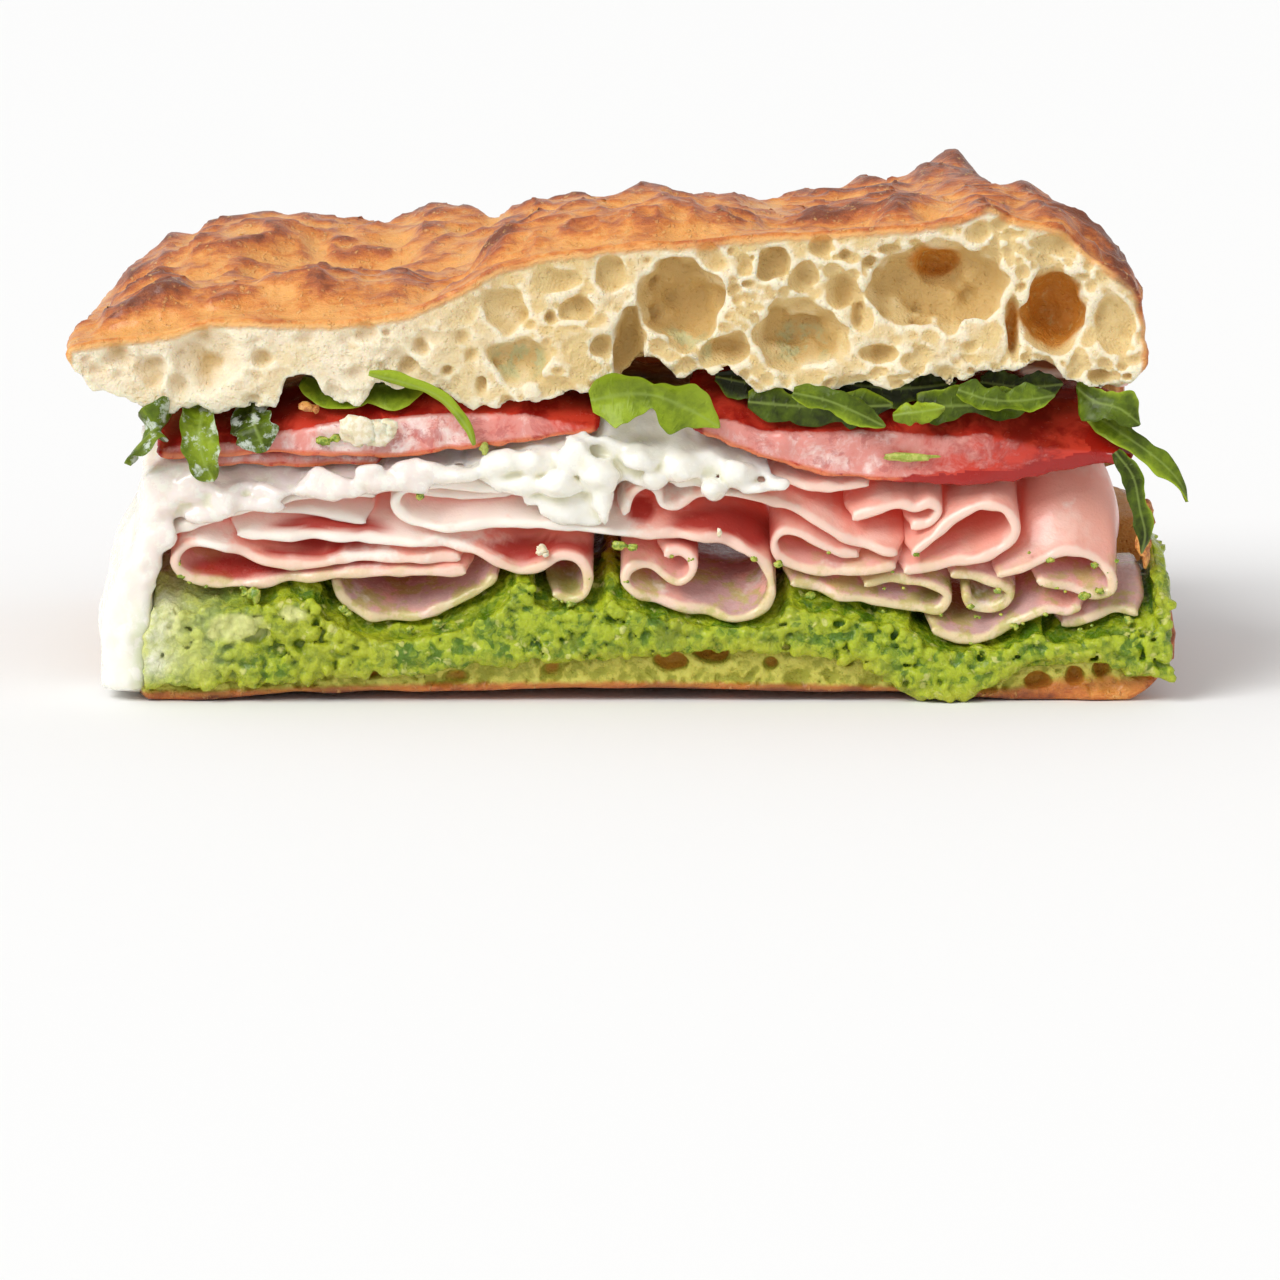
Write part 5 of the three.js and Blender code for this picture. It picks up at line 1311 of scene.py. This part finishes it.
# Arugula: each leaf follows a rib of x, depth, z points. After the rib come its half width, the way
# in which the blade spreads, and how many lobes each side has.
leaves = [
    ([(-54.6, 3, 35.4), (-56.6, -1.4, 34.6), (-59.6, -2.4, 31.6), (-60.2, -2.6, 30.2)],
     2.5, (0.5, 0.7, 0.6), 1),
    ([(-50.8, 4, 35.3), (-51.4, -1.4, 34.4), (-51, -2.6, 31.2), (-49.6, -2.8, 28.2)],
     3.3, (1, 0.1, 0.1), 1),
    ([(-45, 4, 35.4), (-44.6, -1.2, 34.8), (-44, -2, 33.6), (-43.2, -2.2, 31.8)], 3.1, (1, 0, 0.1), 1),
    ([(-39, 5, 36.7), (-33, 3.2, 36.9), (-27, 3.4, 37.1), (-21.5, 6, 37.2)], 3, (0, 1, 0.15), 2),
    ([(-30.4, -1.2, 41.4), (-26, -1.5, 40.4), (-21.6, -1.7, 38.6), (-18.2, -1.9, 34.8), (-17.4, -1.9, 32.6)],
     0.9, (0.6, -0.2, 0.8), 1),
    ([(-14.5, 6, 37.5), (-11.5, 3.5, 37.3), (-8, 3.6, 37.3), (-4.6, 6, 37.6)], 3.1, (0, 1, 0), 2),
    ([(-3, -0.8, 38), (1.6, -1.2, 38.9), (5.4, -1.5, 38.6), (9.4, -1.7, 36.9), (13, -1.7, 34.8)],
     3.2, (0, 0.1, 1), 2),
    ([(12.5, 3.8, 38), (17, 3.3, 37.4), (21.5, 3.3, 37.1), (25.5, 3.8, 37.1)], 1.9, (0, 0.3, 1), 2),
    ([(16.5, 0.9, 37.1), (22.5, 0.6, 36.8), (28.5, 0.6, 36.7), (34.5, 0.9, 36.6)], 2.3, (0, 0.15, 1), 3),
    ([(28, 3.8, 37), (33, 3.3, 36.8), (38, 3.3, 36.8), (42.5, 3.8, 37)], 2.3, (0, 0.3, 1), 3),
    ([(37.5, 0.9, 36.4), (42.5, 0.6, 36.8), (48, 0.6, 36.9), (53, 0.9, 36.8)], 2.3, (0, 0.15, 1), 2),
    ([(45.5, 3.8, 37.1), (49, 3.3, 37), (52.5, 3.3, 36.9), (55.8, 3.8, 36.8)], 2.3, (0, 0.3, 1), 2),
    ([(57.5, 2.6, 37.4), (59.6, 0.4, 37.4), (62.2, -0.8, 37), (65, -1.2, 35)], 2.2, (0.1, 0.5, 0.85), 1),
    ([(58.6, 4, 33.2), (62, 1.2, 33.4), (66.4, -0.4, 31.2), (69.6, -1, 28.2), (71, -1.2, 25.4)],
     1.5, (0.5, 0.5, 0.6), 1),
    ([(62, -1, 31.6), (64.2, -1.6, 28.6), (65.1, -1.8, 24.6), (65.8, -1.8, 21.4), (65.4, -1.8, 19)],
     1.2, (1, 0, 0.1), 2),
    ([(22, -1.3, 39), (26, -1.8, 38.2), (30, -2.1, 36.6), (33.4, -2, 34.9)], 1.7, (0.5, 0.2, 0.9), 1),
    ([(34.4, -1.4, 36.2), (37.6, -2, 36.7), (40.8, -1.8, 37.2)], 1.4, (0.1, 0.3, 0.9), 1),
    ([(42.4, -1.4, 39.4), (46, -1.9, 38.3), (50, -1.9, 38.1), (54.4, -1.4, 38.7)], 2.1, (0, 0.2, 1), 2),
    ([(-58.4, 14, 38), (-52, 11.4, 37.7), (-46, 11.6, 37.6), (-40, 14, 37.8)], 3.6, (0, 1, 0.1), 2),
    ([(-20, 16, 38.6), (-12, 12.6, 38.6), (-4, 12.6, 38.7), (3, 15, 38.8)], 3.8, (0, 1, 0.1), 3),
    ([(2, 21, 38.9), (10, 17, 38.8), (18, 16.6, 38.6), (26, 20, 38.7)], 3.8, (0, 1, 0.1), 3),
]
# From dark to bright, for each leaf in turn: partly each leaf's own tone, partly painted shade, with the
# leaves set further back mostly darker.
leafTonesAndShade = [
    0.5, 0.65, 0.35, 0.45, 0.95, 0.45, 0.8, 0.05, 0.25, 0.05, 0.35,
    0.1, 0.4, 0.5, 0.25, 0.5, 0.85, 0.4, 0.2, 0.1, 0.1]
leafLook = {
    "thickness": 0.32, "along": 72, "across": 13, "smearedLeaves": 3,
    "dark": (0.014, 0.020, 0.001), "green": (0.095, 0.145, 0.006), "light": (0.30, 0.40, 0.020),
    "rib": (0.34, 0.44, 0.10), "milk": (0.72, 0.78, 0.70),
}


def leafFinish():
    look = leafLook
    green = Finish("arugula", **{
        "Subsurface Weight": 0.1, "Subsurface Scale": 0.0006, "Subsurface Radius": (0.5, 1.0, 0.2),
        "Coat Weight": 0.06, "Coat Roughness": 0.15, "Specular IOR Level": 0.2})
    lumps, between, value = green.lumps, green.between, green.value
    patch = lumps(3.5, 4, 0.65, where=green.warped(3, 1))
    tone = value("tone") + (patch - 0.5) * 1.3
    colour = green.ramp(tone, (0.1, look["dark"]), (0.5, look["green"]), (0.95, look["light"]))
    milk = value("milk") * between(lumps(2, 4, 0.7, seed=0.21), 0.5, 0.62)
    colour = green.coats(look, colour, ("rib", between(value("vein"), 0.5, 1.0) * 0.4), ("milk", milk * 0.7))
    height = value("vein") * -0.8 + lumps(0.7, 4, 0.6) * 0.6
    return green.finish(colour, 0.36 + (patch - 0.5) * 0.25, height, strength=0.55, distance=0.3)


def makeLeaves():
    look = leafLook
    finish = leafFinish()
    faces = ringFaces(look["along"], 2 * look["across"])
    # Along the rib from 0 to 1, and over the blade from -1 to 1, denser at the margins.
    along = np.linspace(0, 1, look["along"])
    over = np.sin(np.linspace(-1, 1, look["across"]) * np.pi / 2)
    u, v = along[:, None], over[None, :]
    for k, (rib, half, across, lobes) in enumerate(leaves):
        smeared = k < look["smearedLeaves"]
        curve = resampled(curveThrough(rib), look["along"])
        ahead = unit(np.gradient(curve, axis=0))
        spreadWay = np.array(across, float)
        side = unit(spreadWay - ahead * (ahead @ spreadWay)[:, None])
        middleOut = np.cross(ahead[look["along"] // 2], spreadWay)
        out = np.cross(ahead, side) * (-1 if middleOut[2] < 0 else 1)
        draw = np.random.default_rng(200 + k)
        tip = np.clip((1 - along) / 0.3, 0, 1) ** (0.5 if smeared else 0.75)
        tip = tip * np.clip((along + 0.05) / 0.2, 0, 1) ** 0.6
        widths = []
        for margin in range(2):
            # Each margin has its own lobes and small teeth.
            swing = np.abs(np.sin(np.pi * (0.12 + draw.uniform(-0.06, 0.06) + along * (lobes - 0.18))))
            notch = 0.24 * noise(along * draw.uniform(5, 8), 0 * along, 0 * along, 1, 210 + k + 30 * margin)
            teeth = 0.05 * np.sin(along * draw.uniform(30, 44) + draw.uniform(0, 6))
            widths.append(half * (0.68 + 0.36 * swing**0.8 + notch + teeth) * tip + 0.1)
        width = np.where(v < 0, widths[0][:, None], widths[1][:, None])
        flutter = 0.26 * np.sin(9 * u + 2 * v + k) * np.abs(v)
        flutter = flutter + 0.12 * half * np.sin(14 * u + 3 * k) * v**2
        # The blade rolls about its rib, more on one side than on the other.
        roll = draw.uniform(-1.3, 1.8, 2)
        fold = draw.uniform(-0.45, 0.45)
        turn = np.where(v < 0, roll[0], roll[1]) * np.abs(v) * np.sin(np.pi * (0.2 + 0.8 * u))
        dish = width * np.abs(v) * (np.sin(turn * 0.5) * 0.6 + fold) + flutter
        skin = look["thickness"] / 2 * np.sqrt(1 - 0.96 * v**4) * np.ones_like(width)
        skin = skin + 0.16 * np.exp(-((v * width / 0.35) ** 2))
        middle = curve[:, None, :] + side[:, None, :] * (width * v * np.cos(turn * 0.6))[..., None]
        upper = middle + out[:, None, :] * (dish + skin * 0.8)[..., None]
        lower = middle + out[:, None, :] * (dish - skin)[..., None]
        rings = np.concatenate([upper, lower[:, ::-1]], 1)
        branch = np.clip(np.cos(2 * np.pi * (u * lobes * 4 - 0.9 * np.abs(v))), 0, 1) ** 12 * 0.6
        vein = np.maximum(np.exp(-((v * width / 0.3) ** 2)), branch)
        # One margin grows lighter towards its edge.
        tone = leafTonesAndShade[k] + (0.0 if smeared else 0.55) * np.clip(v * (-1) ** k, 0, 1) ** 3 + 0 * width
        values = {
            "vein": np.concatenate([vein, vein[:, ::-1]], 1).ravel(),
            "tone": np.concatenate([tone, tone[:, ::-1]], 1).ravel(),
            "milk": np.full(2 * vein.size, 1.0 if smeared else 0.0),
        }
        name = f"leaf_{k + 1:02d}"
        meshObject(name, rings.reshape(-1, 3), faces, finish, f"arugula_{k + 1:02d}", values)


makeLeaves()

# Small specks of pesto on the edges of the lowest slices, between these heights.
specks = {"count": 60, "heights": (7, 19)}
# Loose bits in the cut: x, depth, height and half sizes of each.
bits = {
    "crumb_bits": {
        "slot": "bread", "colour": (0.78, 0.67, 0.44), "light": (0.90, 0.83, 0.66), "rough": 0.6,
        "spots": [
            (-31.9, -1.1, 34.3, 2.2, 0.9, 1.7), (-29.6, -1.0, 33.9, 2.3, 0.8, 1.4),
            (-28.0, -0.9, 34.6, 1.3, 0.6, 0.9), (-9.2, -0.4, 19.2, 0.7, 0.5, 0.6),
            (-8.6, -0.5, 18.7, 0.4, 0.4, 0.4), (13, -0.4, 21.4, 0.3, 0.3, 0.5)]},
    "crust_bits": {
        "slot": "bread", "colour": (0.42, 0.13, 0.03), "light": (0.74, 0.36, 0.09), "rough": 0.45,
        "spots": [
            (-38.4, 0.8, 36.4, 0.9, 0.5, 0.4), (-37.2, 0.6, 36.2, 0.5, 0.4, 0.3),
            (66.2, 2.4, 17.4, 0.9, 1.2, 1.7), (66.6, 3.4, 20.6, 0.8, 1.4, 1.2)]},
    "pesto_bits": {
        "slot": "pesto", "colour": (0.14, 0.24, 0.010), "light": (0.46, 0.52, 0.07), "rough": 0.25,
        "spots": [
            (-36.2, -0.6, 32.9, 0.9, 0.5, 0.5), (-34.6, -0.5, 33.2, 0.6, 0.4, 0.4),
            (-44.9, -0.6, 13.4, 0.8, 0.6, 0.9), (-46.2, -0.4, 13.8, 0.5, 0.4, 0.5),
            (-24.2, -0.4, 26.0, 0.5, 0.4, 0.5), (0.6, -0.5, 19.8, 0.9, 0.4, 0.5),
            (2.2, -0.5, 19.5, 0.6, 0.4, 0.4), (58.6, -0.5, 13.4, 0.8, 0.5, 0.5),
            (60.4, -0.5, 14.0, 0.5, 0.4, 0.4)]},
    "stem_bits": {
        "slot": "arugula", "colour": (0.34, 0.42, 0.05), "light": (0.52, 0.56, 0.12), "rough": 0.35,
        "spots": [
            (36.2, -0.7, 30.9, 2.8, 0.35, 0.5), (-16.2, -0.6, 31.9, 0.5, 0.3, 0.7)]},
}


def makeBits():
    # Each bit is a ball with a rough skin, joined with the others of its kind.
    rounds = np.arange(20) * np.pi / 10
    turns, rounds = np.meshgrid(np.linspace(0.1, np.pi - 0.1, 12), rounds, indexing="ij")
    ball = np.stack([np.cos(turns), np.sin(turns) * np.cos(rounds), np.sin(turns) * np.sin(rounds)], 2)
    ball = ball.reshape(-1, 3)
    ring = ringFaces(12, 20)
    draw = np.random.default_rng(61)
    low, high = specks["heights"]
    marks = sliceMarks[(sliceMarks[:, 1] < high) & (sliceMarks[:, 1] > low)]
    for name, kind in bits.items():
        spots = list(kind["spots"])
        if name == "pesto_bits":
            for x, z in marks[draw.integers(0, len(marks), specks["count"])]:
                size = 0.14 + 0.3 * draw.random() ** 2
                spots.append((x + draw.uniform(-0.4, 0.4), 0.1, z - 0.3, size * 1.4, size, size))
        bumps = [1 + 0.5 * layered(*ball.T * 1.7, 1.1, 130 + i, 2) for i in range(len(spots))]
        balls = [ball * bump[:, None] * spot[3:] + spot[:3] for bump, spot in zip(bumps, spots)]
        points = np.concatenate(balls)
        faces = np.concatenate([ring + i * len(ball) for i in range(len(spots))])
        crumbly = Finish(name, **{"Subsurface Weight": 0.2, "Subsurface Scale": 0.001, "Coat Weight": 0.1})
        grain = crumbly.lumps(0.7, 4, 0.65)
        colour = crumbly.blend(kind["colour"], kind["light"], crumbly.between(grain, 0.4, 0.6))
        rough = kind["rough"] + (grain - 0.5) * 0.3
        finish = crumbly.finish(colour, rough, grain, strength=0.6, distance=0.3)
        meshObject(name, points, faces, finish)


makeBits()

camera = {"from": (2.25, -629.5, 112.0), "pitch": 10.0, "lens": 135, "frame": 36}


def makeCamera():
    data = bpy.data.cameras.new("camera")
    data.lens, data.sensor_width = camera["lens"], camera["frame"]
    data.clip_start, data.clip_end = 0.01, 50
    holder = bpy.data.objects.new("camera", data)
    holder.location = [v * mm for v in camera["from"]]
    holder.rotation_euler = (math.radians(90 - camera["pitch"]), 0, 0)
    bpy.context.scene.collection.objects.link(holder)
    bpy.context.scene.camera = holder
    print("camera", camera["lens"], "mm lens")


# Even light from all round and one soft key light from the front left, over a pale floor.
studio = {
    "world": 0.66, "key": 2.1, "keySoft": 36, "keyFrom": (-0.62, -0.52, 0.72),
    "floor": (0.9, 0.9, 0.895), "floorHalf": 12.0,
}


def makeStudio():
    scene = bpy.context.scene
    world = bpy.data.worlds.new("studio")
    scene.world = world
    world.use_nodes = True
    background = world.node_tree.nodes["Background"]
    background.inputs["Color"].default_value = (1, 1, 1, 1)
    background.inputs["Strength"].default_value = studio["world"]
    sun = bpy.data.lights.new("key", "SUN")
    sun.energy, sun.angle = studio["key"], math.radians(studio["keySoft"])
    key = bpy.data.objects.new("key", sun)
    key.rotation_euler = Vector(studio["keyFrom"]).to_track_quat("Z", "Y").to_euler()
    scene.collection.objects.link(key)
    plane = bpy.data.meshes.new("floor")
    far = studio["floorHalf"]
    plane.from_pydata([(-far, -far, 0), (far, -far, 0), (far, far, 0), (-far, far, 0)], [], [(0, 1, 2, 3)])
    floor = bpy.data.objects.new("floor", plane)
    scene.collection.objects.link(floor)
    paper = Finish("floor", **{"Roughness": 0.9, "Base Color": (*studio["floor"], 1)})
    plane.materials.append(paper.material)
    scene.view_settings.view_transform = "Standard"
    print("studio and floor")


makeCamera()
makeStudio()
